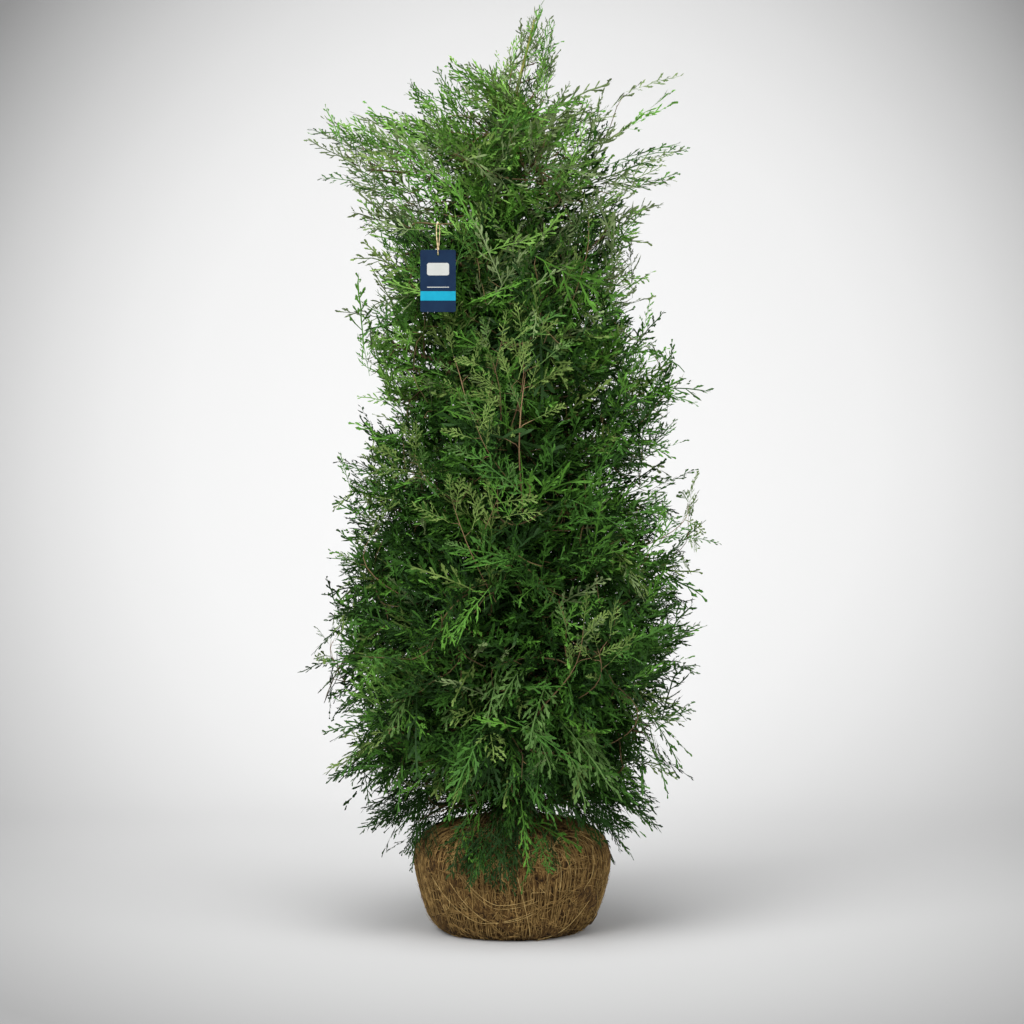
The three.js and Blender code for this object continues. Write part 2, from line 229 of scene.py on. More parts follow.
def rings_round(line, first, second, radius, sides):
    """Rings of points round a line, in the plane of two vectors at each of its points."""
    angles = np.arange(sides) * (2 * pi / sides)
    around = np.cos(angles)[:, None] * first[:, None] + np.sin(angles)[:, None] * second[:, None]
    return (line[:, None] + radius * around).reshape(-1, 3)


def tube(line, radii, sides):
    """A closed tube along a line, drawn to a point at its far end."""
    radii = np.broadcast_to(radii, len(line))[:-1, None, None]
    reference = np.eye(3)[np.argmin(np.abs(unit(line[-1] - line[0])))]
    ways = ways_along(line)
    first = units(np.cross(ways, reference))
    second = np.cross(ways, first)
    rings = rings_round(line[:-1], first[:-1], second[:-1], radii, sides)
    return np.concatenate([rings, line[-1:], line[:1]]), capped_bands(len(line) - 1, sides)


def taper(line, thick, thin, sides=3):
    return tube(line, np.linspace(thick, thin, len(line)), sides)


def smooth_line(points, steps):
    """A Catmull-Rom curve through points, as that many steps for each stretch."""
    points = np.asarray(points, float)
    padded = np.vstack([2 * points[0] - points[1], points, 2 * points[-1] - points[-2]])
    t = np.linspace(0, 1, steps, endpoint=False)[:, None]
    out = []
    for a, b, c, d in zip(padded, padded[1:], padded[2:], padded[3:]):
        curve = 2 * b + (c - a) * t + (2 * a - 5 * b + 4 * c - d) * t**2
        out.append(0.5 * (curve + (3 * b - a - 3 * c + d) * t**3))
    return np.concatenate([*out, points[-1:]])


def hermite(start, start_way, end, end_way, steps=4):
    """A curve from start to end that leaves and arrives along two vectors."""
    t = np.linspace(0, 1, steps)[:, None]
    return (
        (2 * t**3 - 3 * t**2 + 1) * start
        + (t**3 - 2 * t**2 + t) * start_way
        + (3 * t**2 - 2 * t**3) * end
        + (t**3 - t**2) * end_way
    )


# ---- Materials -------------------------------------------------------------------------------


def srgb(r, g, b):
    """Linear colour of a colour given as 0 to 255 on a screen."""
    line = [((c / 255 + 0.055) / 1.055) ** 2.4 if c > 10 else c / 255 / 12.92 for c in (r, g, b)]
    return (*line, 1.0)


class Finish:
    """A node material on a Principled shader, built up step by step."""

    def __init__(self, name, roughness, specular):
        self.material = bpy.data.materials.new(name)
        self.material.use_nodes = True
        self.tree = self.material.node_tree
        self.shader = self.tree.nodes["Principled BSDF"]
        self.feed(self.shader, {"Roughness": roughness, "Specular IOR Level": specular})
        self.place = self.node("TexCoord", {}, "Object")

    def feed(self, node, inputs):
        """Links each input to an output, or sets it to a value."""
        for name, value in inputs.items():
            if isinstance(value, bpy.types.NodeSocket):
                self.tree.links.new(value, node.inputs[name])
            else:
                node.inputs[name].default_value = value

    def node(self, kind, inputs, output, operation=None):
        """A shader node's output."""
        node = self.tree.nodes.new("ShaderNode" + kind)
        if operation:
            node.operation = operation
        self.feed(node, inputs)
        return node.outputs[output]

    def noise(self, scale, detail, roughness=0.55, stretch=None, distortion=0.0):
        place = self.place
        if stretch:
            place = self.node("Mapping", {"Vector": place, "Scale": stretch}, "Vector")
        inputs = {"Vector": place, "Scale": scale, "Detail": detail}
        inputs |= {"Roughness": roughness, "Distortion": distortion}
        return self.node("TexNoise", inputs, "Fac")

    def colours(self, value, stops):
        """Base colour from a value, by stops of a place and a linear colour."""
        ramp = self.tree.nodes.new("ShaderNodeValToRGB")
        band = ramp.color_ramp
        while len(band.elements) < len(stops):
            band.elements.new(0.5)
        for element, (place, colour) in zip(band.elements, stops):
            element.position = place
            element.color = colour
        self.feed(ramp, {"Fac": value})
        self.feed(self.shader, {"Base Color": ramp.outputs["Color"]})

    def mottled(self, value, *stops):
        self.colours(value, [(place, srgb(*colour)) for place, colour in stops])

    def roughness_from(self, value, low, high):
        span = {"Value": value, "To Min": low, "To Max": high}
        self.feed(self.shader, {"Roughness": self.node("MapRange", span, "Result")})

    def bump(self, value, strength, distance):
        inputs = {"Height": value, "Strength": strength, "Distance": distance}
        self.feed(self.shader, {"Normal": self.node("Bump", inputs, "Normal")})


def leaf_finish(name, dark, light):
    """Scale leaves: one plain green that drifts a little, and is rippled along each branchlet."""
    finish = Finish(name, 0.58, 0.13)
    finish.mottled(finish.noise(28, 2), (0.3, dark), (0.7, light))
    finish.bump(finish.noise(700, 1), 0.35, 0.0004)
    return finish.material


def bark_finish():
    finish = Finish("bark", 0.85, 0.25)
    streaks = finish.noise(60, 6, 0.62, (1, 1, 0.18), 0.6)
    finish.mottled(streaks, (0.28, (50, 38, 26)), (0.5, (92, 74, 52)), (0.75, (128, 108, 82)))
    finish.bump(streaks, 0.8, 0.0012)
    finish.roughness_from(streaks, 0.75, 0.95)
    return finish.material


def twig_finish(name, dark, middle, light):
    finish = Finish(name, 0.65, 0.3)
    finish.mottled(finish.noise(45, 4), (0.3, dark), (0.55, middle), (0.8, light))
    finish.bump(finish.noise(500, 2), 0.4, 0.0003)
    return finish.material


def soil_finish():
    """Matted coir behind the threads: dark in its depths, brown where it stands out."""
    finish = Finish("matted_coir", 0.95, 0.15)
    mat = finish.noise(230, 6, 0.7, (1, 1, 0.35), 0.8)
    finish.mottled(mat, (0.38, (24, 15, 6)), (0.52, (76, 55, 27)), (0.68, (132, 104, 60)))
    finish.bump(mat, 1.0, 0.0016)
    return finish.material


def fibre_finish(name, dark, light, scale=90):
    finish = Finish(name, 0.85, 0.25)
    finish.mottled(finish.noise(scale, 4, 0.6), (0.3, dark), (0.7, light))
    finish.bump(finish.noise(1200, 2), 0.5, 0.0002)
    return finish.material


def card_finish(name, dark, light, roughness):
    """Printed card under a satin film: nearly even, with a faint mottle and fine grain."""
    finish = Finish(name, roughness, 0.14)
    finish.mottled(finish.noise(60, 3), (0.3, dark), (0.7, light))
    finish.roughness_from(finish.noise(240, 2), roughness - 0.06, roughness + 0.08)
    finish.bump(finish.noise(1500, 2), 0.12, 0.0001)
    return finish.material


BARK = bark_finish()
TWIG = twig_finish("twig_bark", (62, 50, 28), (92, 76, 44), (88, 92, 42))
BARE_TWIG = twig_finish("bare_twig_bark", (98, 74, 50), (124, 98, 70), (112, 108, 60))
LEADER_BARK = twig_finish("leader_bark", (84, 84, 36), (112, 116, 48), (128, 130, 62))
GREENS = {
    "deep": ((20, 44, 12), (32, 62, 18)),
    "forest": ((44, 79, 26), (60, 101, 34)),
    "mid": ((66, 108, 36), (84, 130, 46)),
    "olive": ((84, 106, 50), (104, 126, 62)),
    "fresh": ((90, 132, 52), (114, 152, 70)),
    "frond": ((60, 88, 40), (78, 106, 52)),
    "dusky": ((78, 96, 56), (106, 122, 80)),
}
LEAF_TONES = {tone: leaf_finish(f"leaf_{tone}", *greens) for tone, greens in GREENS.items()}

# ---- Stem and limbs --------------------------------------------------------------------------


def stem_rings():
    """Height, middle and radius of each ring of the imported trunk."""
    for height, ring in level_rings("trunk"):
        middle = ring.mean(axis=0)
        yield height, *middle, norm(ring - middle, axis=1).max()


STEM = np.array(list(stem_rings()))
STEM_FOOT = STEM[0, 0]
STEM_TOP = STEM[-1, 0]
LEADER_START = 1.14  # where the stem's bark is still young and green


def stem_at(height):
    """The middle of the trunk at a height, as a point."""
    x = np.interp(height, STEM[:, 0], STEM[:, 1])
    y = np.interp(height, STEM[:, 0], STEM[:, 2])
    return np.array([x, y, height])


def stem_radius(height):
    return np.interp(height, STEM[:, 0], STEM[:, 3])


def outward_at(point):
    """The level way from the stem to a point."""
    return unit((point - stem_at(point[2])) * (1, 1, 0))


def bark_tube(line, radii, sides, relief, rng):
    """A limb with ridges along it that wander as they climb, and a pointed end."""
    points, triangles = tube(line, radii, sides)
    step, side = np.divmod(np.arange((len(line) - 1) * sides), sides)
    angle = side * (2 * pi / sides)
    phase = rng.uniform(0, 2 * pi, 4)
    ridges = np.sin(5 * angle + 0.21 * step + phase[0])
    ridges += 0.7 * np.sin(8 * angle - 0.33 * step + phase[1])
    ridges += 0.6 * np.sin(3 * angle + 0.9 * step + phase[2])
    ridges += rng.normal(0, 0.35, len(step))
    outward = points[: len(step)] - line[step]
    points[: len(step)] = line[step] + outward * (1 + relief * ridges[:, None])
    return points, triangles


def make_stem():
    """The trunk's bark and, above it, the green bark of the leader."""
    rng = seeded(0)
    flare = np.linspace(STEM_FOOT, STEM_FOOT + 0.1, 40)
    shaft = np.linspace(STEM_FOOT + 0.104, LEADER_START + 0.004, 200)
    young = np.linspace(LEADER_START, STEM_TOP, 60)
    for name, finish, heights, nodes in (
        ("trunk_bark", BARK, np.concatenate([flare, shaft]), ["trunk"]),
        ("leader_bark", LEADER_BARK, young, []),
    ):
        line = np.array([stem_at(h) for h in heights])
        skin = bark_tube(line, stem_radius(heights), 20, 0.035, rng)
        add_piece(name, *skin, finish, "bark", nodes)


class Mass:
    """One foliage node: its surface, its tip, and the limb that runs into it."""

    def __init__(self, name):
        self.name = name
        self.airy = name.startswith(("foliage_plume", "foliage_leader"))
        self.points, self.triangles = node_mesh(name)
        self.corners = self.points[self.triangles]
        a, b, c = self.corners.swapaxes(0, 1)
        cross = np.cross(b - a, c - a)
        self.areas = norm(cross, axis=1) / 2
        self.normals = units(cross)
        self.middles = self.corners.mean(axis=1)
        self.centre = np.average(self.middles, axis=0, weights=self.areas)
        bough = name.replace("foliage_", "bough_")
        self.bough = bough if bough in frame["nodes"] else None
        self.limb_line()

    def limb_line(self):
        """From the stem through the bough, if the mass has one, and on nearly to the tip."""
        if self.name == "foliage_leader":
            self.tip = self.points[np.argmax(self.points[:, 2])]
            heights = np.linspace(self.points[:, 2].min() - 0.03, STEM_TOP, 6)
            self.limb = smooth_line([stem_at(h) for h in heights], 8)
            return
        stem = np.array([stem_at(p[2]) for p in self.points])
        reach = norm((self.points - stem)[:, :2], axis=1)
        inner = self.points[np.argsort(reach)[:6]].mean(axis=0)
        away = norm(self.points - inner, axis=1)
        self.tip = self.points[np.argsort(away)[-4:]].mean(axis=0)
        if self.bough:
            limb, _ = node_mesh(self.bough)
            order = np.argsort(norm(limb[:, :2] - stem_at(0.7)[:2], axis=1))
            root = limb[order[:5]].mean(axis=0)
            through = [stem_at(root[2] - 0.004), root, limb[order[-5:]].mean(axis=0)]
        else:
            droop = 0.02 if self.tip[2] > inner[2] else -0.01
            through = [stem_at(inner[2] - droop)]
        start = through[-1]
        run = (self.middles - start) @ unit(self.tip - start)
        for low, high in ((0.3, 0.6), (0.55, 0.85)):
            ring = (run > low * run.max()) & (run < high * run.max())
            through.append(np.average(self.middles[ring], axis=0, weights=self.areas[ring]))
        through.append(0.2 * through[-1] + 0.8 * self.tip)
        self.limb = smooth_line(through, 6)

    def bare_limb(self):
        """As much of the limb as shows bark; the rest has spread into twigs."""
        share = 1.0 if self.name == "foliage_leader" else 0.55 if self.airy else 0.8
        return self.limb[: int(share * len(self.limb))]


def crown_surface():
    heap = Heap()
    for mass in MASSES:
        heap.add((mass.points, mass.triangles))
    points, triangles = heap.joined()
    return BVHTree.FromPolygons(points.tolist(), triangles.tolist(), all_triangles=True)


MASSES = [Mass(name) for name in sorted(frame["nodes"]) if name.startswith("foliage_")]
FACE_OWNER = np.concatenate([np.full(len(m.triangles), k) for k, m in enumerate(MASSES)])
CROWN = crown_surface()


def meets_crown(start, way, reach):
    """Where a ray meets the surface of a mass: the point, its normal, the face, the distance."""
    return CROWN.ray_cast(Vector(start), Vector(way), reach)


# ---- Sprays ----------------------------------------------------------------------------------


def strip(line, widths, twist):
    """A flat strip along a line in the plane, twisted about it, that ends in a point."""
    line = np.asarray(line, float)
    along = np.gradient(line, axis=0)[:-1]
    half = widths[:, None] / 2
    flat = units(np.stack([-along[:, 1], along[:, 0]], axis=1)) * half * cos(twist)
    lift = half[:, 0] * sin(twist)
    left = np.column_stack([line[:-1] + flat, lift])
    right = np.column_stack([line[:-1] - flat, -lift])
    tip = np.append(line[-1], 0.0)[None, :]
    points = np.concatenate([np.stack([left, right], axis=1).reshape(-1, 3), tip])
    end = len(points) - 1
    return points, np.array([*ladder(len(widths)), (end - 2, end - 1, end)])


def turned(way, degrees):
    c = cos(radians(degrees))
    s = sin(radians(degrees))
    return np.array([c * way[0] - s * way[1], s * way[0] + c * way[1]])


def rolled(points, first, second, angle):
    """Points turned by an angle in the plane of two of their columns."""
    out = points.copy()
    out[:, first] = cos(angle) * points[:, first] - sin(angle) * points[:, second]
    out[:, second] = sin(angle) * points[:, first] + cos(angle) * points[:, second]
    return out


def feather(kind, length, bend, rng):
    """One side shoot, which runs from the origin along the first axis, bends a little on its way
    and carries short scale-leaved branchlets left and right."""
    heap = Heap()
    way = np.array([1.0, 0.0])
    middle = way * length * 0.5
    late = turned(way, bend)
    far = middle + late * length * 0.34
    tip = far + turned(late, bend * 0.5) * length * 0.2
    club = kind.club * rng.uniform(0.8, 1.2)
    widths = kind.width * np.array([0.6, 1.0, club])
    heap.add(strip([np.zeros(2), middle, far, tip], widths, rng.normal(0, 0.5)))
    turn = rng.choice([-1, 1])
    for place in kind.fork_places:
        turn = -turn
        shoot = length * kind.fork_reach * rng.uniform(0.75, 1.3) * (1.15 - place)
        if shoot < kind.least or rng.random() > kind.forks:
            continue
        early = place < 0.5
        root = way * length * place if early else middle + late * length * (place - 0.5)
        aim = turned(way if early else late, turn * rng.uniform(24, 46))
        line = [root, root + aim * shoot * 0.55, root + turned(aim, -turn * 12) * shoot]
        heap.add(strip(line, kind.width * np.array([0.65, club]), rng.normal(0, 0.6)))
    return heap.joined()


def spray_template(kind, rng):
    """A spray one unit long: its axis, and the shoots that leave it left and right by turns, each
    rolled a little out of the others' plane. Columns are along, across and out of its plane."""
    heap = Heap()
    wander = np.cumsum(rng.normal(0, kind.wander, 8)) * 0.5
    axis = np.column_stack([np.linspace(0, 1, 8), wander - wander[0]])
    heap.add(strip(axis, kind.width * np.linspace(0.6, 0.95, 7), rng.normal(0, 0.2)))
    u = kind.bare
    side = rng.choice([-1, 1])
    while u < 0.97:
        swell = min(1.0, 0.5 + (u - kind.bare) / 0.25) * (1 - u) ** 0.6 + 0.12
        length = kind.reach * swell * rng.uniform(0.68, 1.2)
        spread = np.interp(u, [0, 1], [kind.spread, kind.spread * 0.62])
        points, triangles = feather(kind, length, -side * rng.uniform(-2, 20), rng)
        points = rolled(points, 1, 2, rng.normal(0, kind.roll))
        points = rolled(points, 0, 1, radians(side * spread * rng.uniform(0.8, 1.2)))
        points = rolled(points, 1, 2, rng.normal(0, kind.lift))
        points[:, :2] += [u, np.interp(u, *axis.T)]
        heap.add((points, triangles))
        u += kind.spacing * rng.uniform(0.75, 1.25)
        side = -side
    return heap.joined()


# Kinds of spray, in shares of a spray's length and in degrees. Shoots leave the axis, past a bare
# foot, so far apart and so long, this wide, at this spread. Their ends are clubbed. Branchlets
# fork off them at places along them, so long, at this share of the places, unless shorter than
# the least. Each shoot rolls and lifts, in radians, and the axis wanders.
TRAITS = "spacing reach width spread club fork_places fork_reach forks least roll lift bare wander"
Kind = namedtuple("Kind", TRAITS)
MANY = (0.18, 0.32, 0.46, 0.6, 0.74)
FEW = (0.3, 0.5, 0.7)
KINDS = {
    # a full spray, as over most of the crown
    "fern": Kind(0.0755, 0.38, 0.0185, 49, 1.1, MANY, 0.34, 0.95, 0.024, 0.7, 0.5, 0.08, 0.016),
    # a short broad fan that fills between them
    "fan": Kind(0.1, 0.5, 0.025, 48, 1.1, MANY, 0.32, 0.9, 0.03, 0.7, 0.6, 0.1, 0.02),
    # a slender shoot that stands out from the crown
    "shoot": Kind(0.07, 0.24, 0.0195, 41, 1.5, FEW, 0.4, 0.6, 0.022, 0.5, 0.35, 0.16, 0.026),
    # a long thin spray with the sky between its branchlets
    "lace": Kind(0.08, 0.32, 0.0185, 43, 1.45, FEW, 0.42, 0.75, 0.022, 0.6, 0.45, 0.14, 0.028),
    # a long arching shoot of the top, slender all along
    "arch": Kind(0.062, 0.22, 0.0115, 44, 1.2, FEW, 0.42, 0.7, 0.018, 0.5, 0.35, 0.2, 0.03),
    # a large soft one whose lobes have run together, hung over the others
    "lobed": Kind(0.075, 0.34, 0.028, 44, 1.6, FEW, 0.44, 0.85, 0.035, 0.35, 0.2, 0.2, 0.016),
    # a long drooping frond of the lower crown
    "frond": Kind(0.06, 0.3, 0.019, 46, 1.35, FEW, 0.42, 0.9, 0.025, 0.3, 0.2, 0.14, 0.014),
    # a large hanging one with broad lobes
    "soft_frond": Kind(0.064, 0.33, 0.02, 50, 1.5, FEW, 0.4, 0.95, 0.022, 0.4, 0.3, 0.16, 0.016),
    # a coarse one for the shade inside
    "shade": Kind(0.096, 0.36, 0.043, 54, 1.2, (), 0.0, 0.0, 1.0, 0.8, 0.6, 0.05, 0.015),
    # a plainer one for the gaps between the masses
    "inner": Kind(0.088, 0.42, 0.026, 49, 1.2, FEW, 0.4, 0.85, 0.03, 0.7, 0.5, 0.08, 0.016),
}
VARIANTS = 8


def make_templates():
    rng = seeded(1)
    return {n: [spray_template(kind, rng) for _ in range(VARIANTS)] for n, kind in KINDS.items()}


TEMPLATES = make_templates()


def placed(template, base, along, across, length, droop, curl):
    """A template laid into the crown, sagging towards its end and cupped across."""
    points, triangles = template
    u, v, w = points.T
    face = np.cross(along, across)
    out = base + length * (np.outer(u, along) + np.outer(v, across) + np.outer(w, face))
    out += np.outer(length * curl * v**2, face)
    out[:, 2] -= length * droop * u**2
    return out, triangles


# ---- How growth varies -----------------------------------------------------------------------

# How growth changes with height: how steeply shoots climb, in degrees above the level, how
# much sprays sag, how far apart their tips stand, and how long they are.
HEIGHTS = [0.08, 0.2, 0.3, 0.45, 0.8, 1.05, 1.2, 1.4]
CLIMB = [-50, -24, 8, 26, 40, 50, 50, 76]
SAG = [0.3, 0.26, 0.17, 0.12, 0.1, 0.08, 0.05, 0.02]
TIP_SPACING = [0.026, 0.0245, 0.0235, 0.0225, 0.0225, 0.0225, 0.0198, 0.021]
SPRAY_LENGTH = [0.1, 0.115, 0.12, 0.12, 0.115, 0.12, 0.125, 0.09]
INSET = (0.014, 0.044)  # how far inside its mass the tip of an ordinary spray lies
STAND_OUT = 0.03  # how far beyond its mass a slender shoot may reach
STAND_OUT_SHARE = 0.2
INNER_SHARE = 0.24  # of the sprays whose tips lie in the gaps between masses, grown
CAVITY_SCALE = 15.0  # hollows in the crown's side to a metre; sprays there keep further in and take darker tones as painted shade
CAVITY_DEPTH = 0.085
SPARE = 0.017  # how far past the CAD model's box a spray may reach
LOWEST = np.array(cad_low) - SPARE
HIGHEST = np.array(cad_high) + SPARE
LABEL_MARGIN = 0.004  # left free of sprays round the label and in front of it

# Masses whose sprays stand further apart, those whose sprays keep further in, and those whose
# far end is open: the share of sprays left out there, between two places along the mass, and
# below its end.
THIN = {
    "foliage_plume_1": 1.45,
    "foliage_low_1": 1.15,
    "foliage_waist_1": 1.06,
    "foliage_leader": 1.12,
}
PULLED_IN = {
    "foliage_plume_4": 0.026,
    "foliage_plume_3": 0.006,
    "foliage_neck_1": 0.01,
    "foliage_neck_3": 0.026,
    "foliage_shoulder_1": 0.02,
    "foliage_shoulder_3": 0.028,
    "foliage_waist_1": 0.032,
    "foliage_middle_1": 0.018,
    "foliage_low_1": 0.046,
    "foliage_middle_4": 0.022,
    "foliage_belly_3": 0.014,
    "foliage_belly_1": 0.01,
    "foliage_belly_2": 0.01,
}
OPEN_END = {"foliage_plume_1": 0.86}
OPEN_FROM = (0.55, 0.85)
OPEN_UNDERSIDE = {"foliage_plume_1": 0.5, "foliage_plume_3": 0.8}

# Shares of the tones by height, lighter high up and darker low down: partly young growth at the
# top and partly painted light and shade, the top lit from above and the lower crown in shade.
# Some sprays are dusky first, and young growth shows in spots, by middle and radius.
TONE_HEIGHTS = [0.1, 0.45, 0.7, 0.95, 1.1, 1.25]
TONE_SHARES = {
    "deep": [0.37, 0.36, 0.23, 0.1, 0.04, 0.02],
    "forest": [0.46, 0.45, 0.42, 0.32, 0.17, 0.11],
    "mid": [0.12, 0.14, 0.24, 0.38, 0.43, 0.43],
    "olive": [0.08, 0.08, 0.12, 0.1, 0.06, 0.06],
    "fresh": [0.0, 0.0, 0.0, 0.08, 0.3, 0.4],
}
DUSKY = {
    "foliage_plume_1": 0.6,
    "foliage_neck_1": 0.4,
    "foliage_leader": 0.55,
    "foliage_plume_5": 0.25,
    "foliage_plume_3": 0.25,
    "foliage_plume_4": 0.25,
}
DUSKY_TIPS = [0.04, 0.04, 0.1, 0.3, 0.3, 0.3]  # of the shoots that stand out, by height
BRIGHT_SPOTS = [
    ((-0.19, -0.04, 0.88), 0.06),
    ((-0.22, -0.06, 0.41), 0.05),
    ((-0.14, -0.1, 0.24), 0.04),
    ((0.18, 0.1, 0.85), 0.06),
    ((-0.02, 0.2, 0.6), 0.06),
]


def by_height(values, height):
    return float(np.interp(height, HEIGHTS, values))


def tone_at(height, rng, mass, stands_out=False):
    dusky = DUSKY.get(mass.name, 0.0)
    if stands_out:
        dusky = max(dusky, float(np.interp(height, TONE_HEIGHTS, DUSKY_TIPS)))
    if rng.random() < dusky:
        return "dusky"
    shares = np.array([np.interp(height, TONE_HEIGHTS, row) for row in TONE_SHARES.values()])
    return list(TONE_SHARES)[rng.choice(len(shares), p=shares / shares.sum())]


# ---- Outline and hollows ---------------------------------------------------------------------

OPEN_AIR = 0.09  # how far in front of a point must be clear for air to lie on it


def surface_samples(mass, rng):
    """Points spread over a mass's surface, each with its normal and whether air lies on it."""
    total = mass.areas.sum()
    spacing = by_height(TIP_SPACING, mass.centre[2]) * THIN.get(mass.name, 1.0)
    tries = int(4 * total / spacing**2)
    faces = rng.choice(len(mass.areas), tries, p=mass.areas / total)
    a = np.sqrt(rng.random(tries))[:, None]
    b = rng.random(tries)[:, None]
    corners = mass.corners[faces]
    points = (1 - a) * corners[:, 0] + a * (1 - b) * corners[:, 1] + a * b * corners[:, 2]
    kept = np.zeros((0, 3))
    samples = []
    for point, normal in zip(points, mass.normals[faces]):
        if len(kept) and np.min(np.sum((kept - point) ** 2, axis=1)) < spacing**2:
            continue
        kept = np.vstack([kept, point])
        look = unit(normal + 0.5 * outward_at(point))
        met = meets_crown(point + 0.002 * normal, look, OPEN_AIR)
        samples.append((point, normal, met[0] is None))
    return samples


class Envelope:
    """How far the crown reaches at each height and compass angle, with its hollows filled."""

    STEP = 0.02
    SECTORS = 24
    SMOOTHING = 3

    def __init__(self):
        points = np.concatenate([np.vstack([m.points, m.middles]) for m in MASSES])
        self.low = points[:, 2].min()
        rows = int((points[:, 2].max() - self.low) / self.STEP) + 1
        reach = np.zeros((rows, self.SECTORS))
        for point in points:
            row, sector = (int(v) for v in self.cell(point))
            sector %= self.SECTORS
            reach[row, sector] = max(reach[row, sector], self.reach_of(point))
        widest = reach.copy()
        for shift in (-1, 1):
            widest = np.maximum(widest, 0.97 * np.roll(reach, shift, axis=1))
        tall = widest.copy()
        for shift in range(1, self.SMOOTHING + 1):
            tall[shift:] = np.maximum(tall[shift:], widest[:-shift])
            tall[:-shift] = np.maximum(tall[:-shift], widest[shift:])
        padded = np.pad(tall, ((self.SMOOTHING, self.SMOOTHING), (0, 0)), mode="edge")
        span = 2 * self.SMOOTHING + 1
        self.table = sum(padded[k : k + rows] for k in range(span)) / span

    def reach_of(self, point):
        return float(norm((point - stem_at(point[2]))[:2]))

    def cell(self, point):
        angle = atan2(point[1], point[0]) % (2 * pi)
        return (point[2] - self.low) / self.STEP, angle / (2 * pi) * self.SECTORS

    def reach(self, point):
        """The reach of the outline at a point's height and compass angle."""
        row, sector = self.cell(point)
        row = min(max(row, 0.0), len(self.table) - 1.001)
        r = int(row)
        c = int(sector) % self.SECTORS
        t = sector - int(sector)
        near, far = self.table[r : r + 2, c], self.table[r : r + 2, (c + 1) % self.SECTORS]
        low, high = (1 - t) * near + t * far
        return float(low + (row - r) * (high - low))

    def depth(self, point):
        """How far a point lies inside the outline."""
        return self.reach(point) - self.reach_of(point)


ENVELOPE = Envelope()
HOLLOW_HEIGHTS = (0.2, 1.12)
HOLLOW_RADIUS = 0.22  # about the crown's, by which the tips are dealt round it
HOLLOW_SPACING = 0.024
HOLLOW_LEAST = 0.016  # gaps between the masses and the outline that are left as they are
HOLLOW_INSET = 0.022
LEADER_TIPS = 3  # upright sprays just above the leader's mass
LEADER_RISE = 0.012


def hollow_tips(rng):
    """Tips for sprays that fill the hollows between neighbouring masses, as a list for each
    mass, so that the crown's side runs on past the gaps between its whorls."""
    tips = [[] for _ in MASSES]
    around = int(2 * pi * HOLLOW_RADIUS / HOLLOW_SPACING)
    height = HOLLOW_HEIGHTS[0]
    while height < HOLLOW_HEIGHTS[1]:
        for k in range(around):
            out = compass((k + rng.uniform(-0.4, 0.4)) * 2 * pi / around)
            foot = stem_at(height + rng.uniform(-0.4, 0.4) * HOLLOW_SPACING)
            point = foot + (ENVELOPE.reach(foot + 0.2 * out) - HOLLOW_INSET) * out
            place, normal, face, distance = CROWN.find_nearest(Vector(point))
            outside = (Vector(point) - place).dot(normal) > 0
            if outside and distance > HOLLOW_LEAST:
                tips[FACE_OWNER[face]].append((point, unit(out + 0.4 * np.array(normal)), True))
        height += HOLLOW_SPACING
    for mass, own in zip(MASSES, tips):
        if mass.name == "foliage_leader":
            own += [(mass.tip + LEADER_RISE * UP, UP, True)] * LEADER_TIPS
    return tips


# ---- Sprays and twigs of each mass -----------------------------------------------------------


class Skeleton:
    """The limb of one mass and the twigs on it, as points that later twigs can leave from."""

    STEPS = 4

    def __init__(self, mass):
        limb = mass.bare_limb()
        first = len(limb) // 3
        self.points = limb[first:]
        self.ways = ways_along(limb)[first:]
        self.owner = np.full(len(self.points), -1)
        self.twigs = []
        self.load = []
        self.parent = []

    def attach(self, base, way):
        """Grows a twig to the base of a spray from where it can leave most easily."""
        gap = base - self.points
        distance = norm(gap, axis=1)
        aim = gap / np.maximum(distance, 1e-6)[:, None]
        turn_out = 1 - np.sum(aim * self.ways, axis=1)
        turn_in = 1 - aim @ way
        best = np.argmin((distance + 0.004) * (1 + 0.9 * turn_out + 0.6 * turn_in))
        reach = distance[best]
        leaving = self.ways[best] * reach * 0.6
        line = hermite(self.points[best], leaving, base, way * reach * 0.5, self.STEPS)
        owner = self.owner[best]
        self.points = np.vstack([self.points, line[1:]])
        self.ways = np.vstack([self.ways, ways_along(line)[1:]])
        self.owner = np.append(self.owner, np.full(self.STEPS - 1, len(self.twigs)))
        self.twigs.append(line)
        self.load.append(1)
        self.parent.append(owner)
        while owner >= 0:
            self.load[owner] += 1
            owner = self.parent[owner]


class Crown:
    """Everything that grows: heaps of sprays by tone, twigs and limbs."""

    def __init__(self):
        self.sprays = {tone: Heap() for tone in LEAF_TONES}
        self.twigs = Heap()
        self.bare_twigs = Heap()
        self.limbs = Heap()
        self.keep_clear = [self.clearance(node) for node in ("label_card", "label_string")]

    def clearance(self, node):
        """A box round a node and in front of it."""
        low, high = box_of(node)
        low -= LABEL_MARGIN
        low[1] = cad_low[1] - 0.1
        return low, high + LABEL_MARGIN

    def spray(self, kind, tone, base, along, face, length, droop, rng, skeleton=None):
        across = unit(np.cross(face, along))
        template = TEMPLATES[kind][rng.integers(VARIANTS)]
        curl = rng.normal(0, 0.25)
        points, triangles = placed(template, base, along, across, length, droop, curl)
        for low, high in self.keep_clear:
            if np.all((points > low) & (points < high), axis=1).any():
                return
        if (points < LOWEST).any() or (points > HIGHEST).any():
            return
        self.sprays[tone].add((points, triangles))
        if skeleton:
            skeleton.attach(base, along)


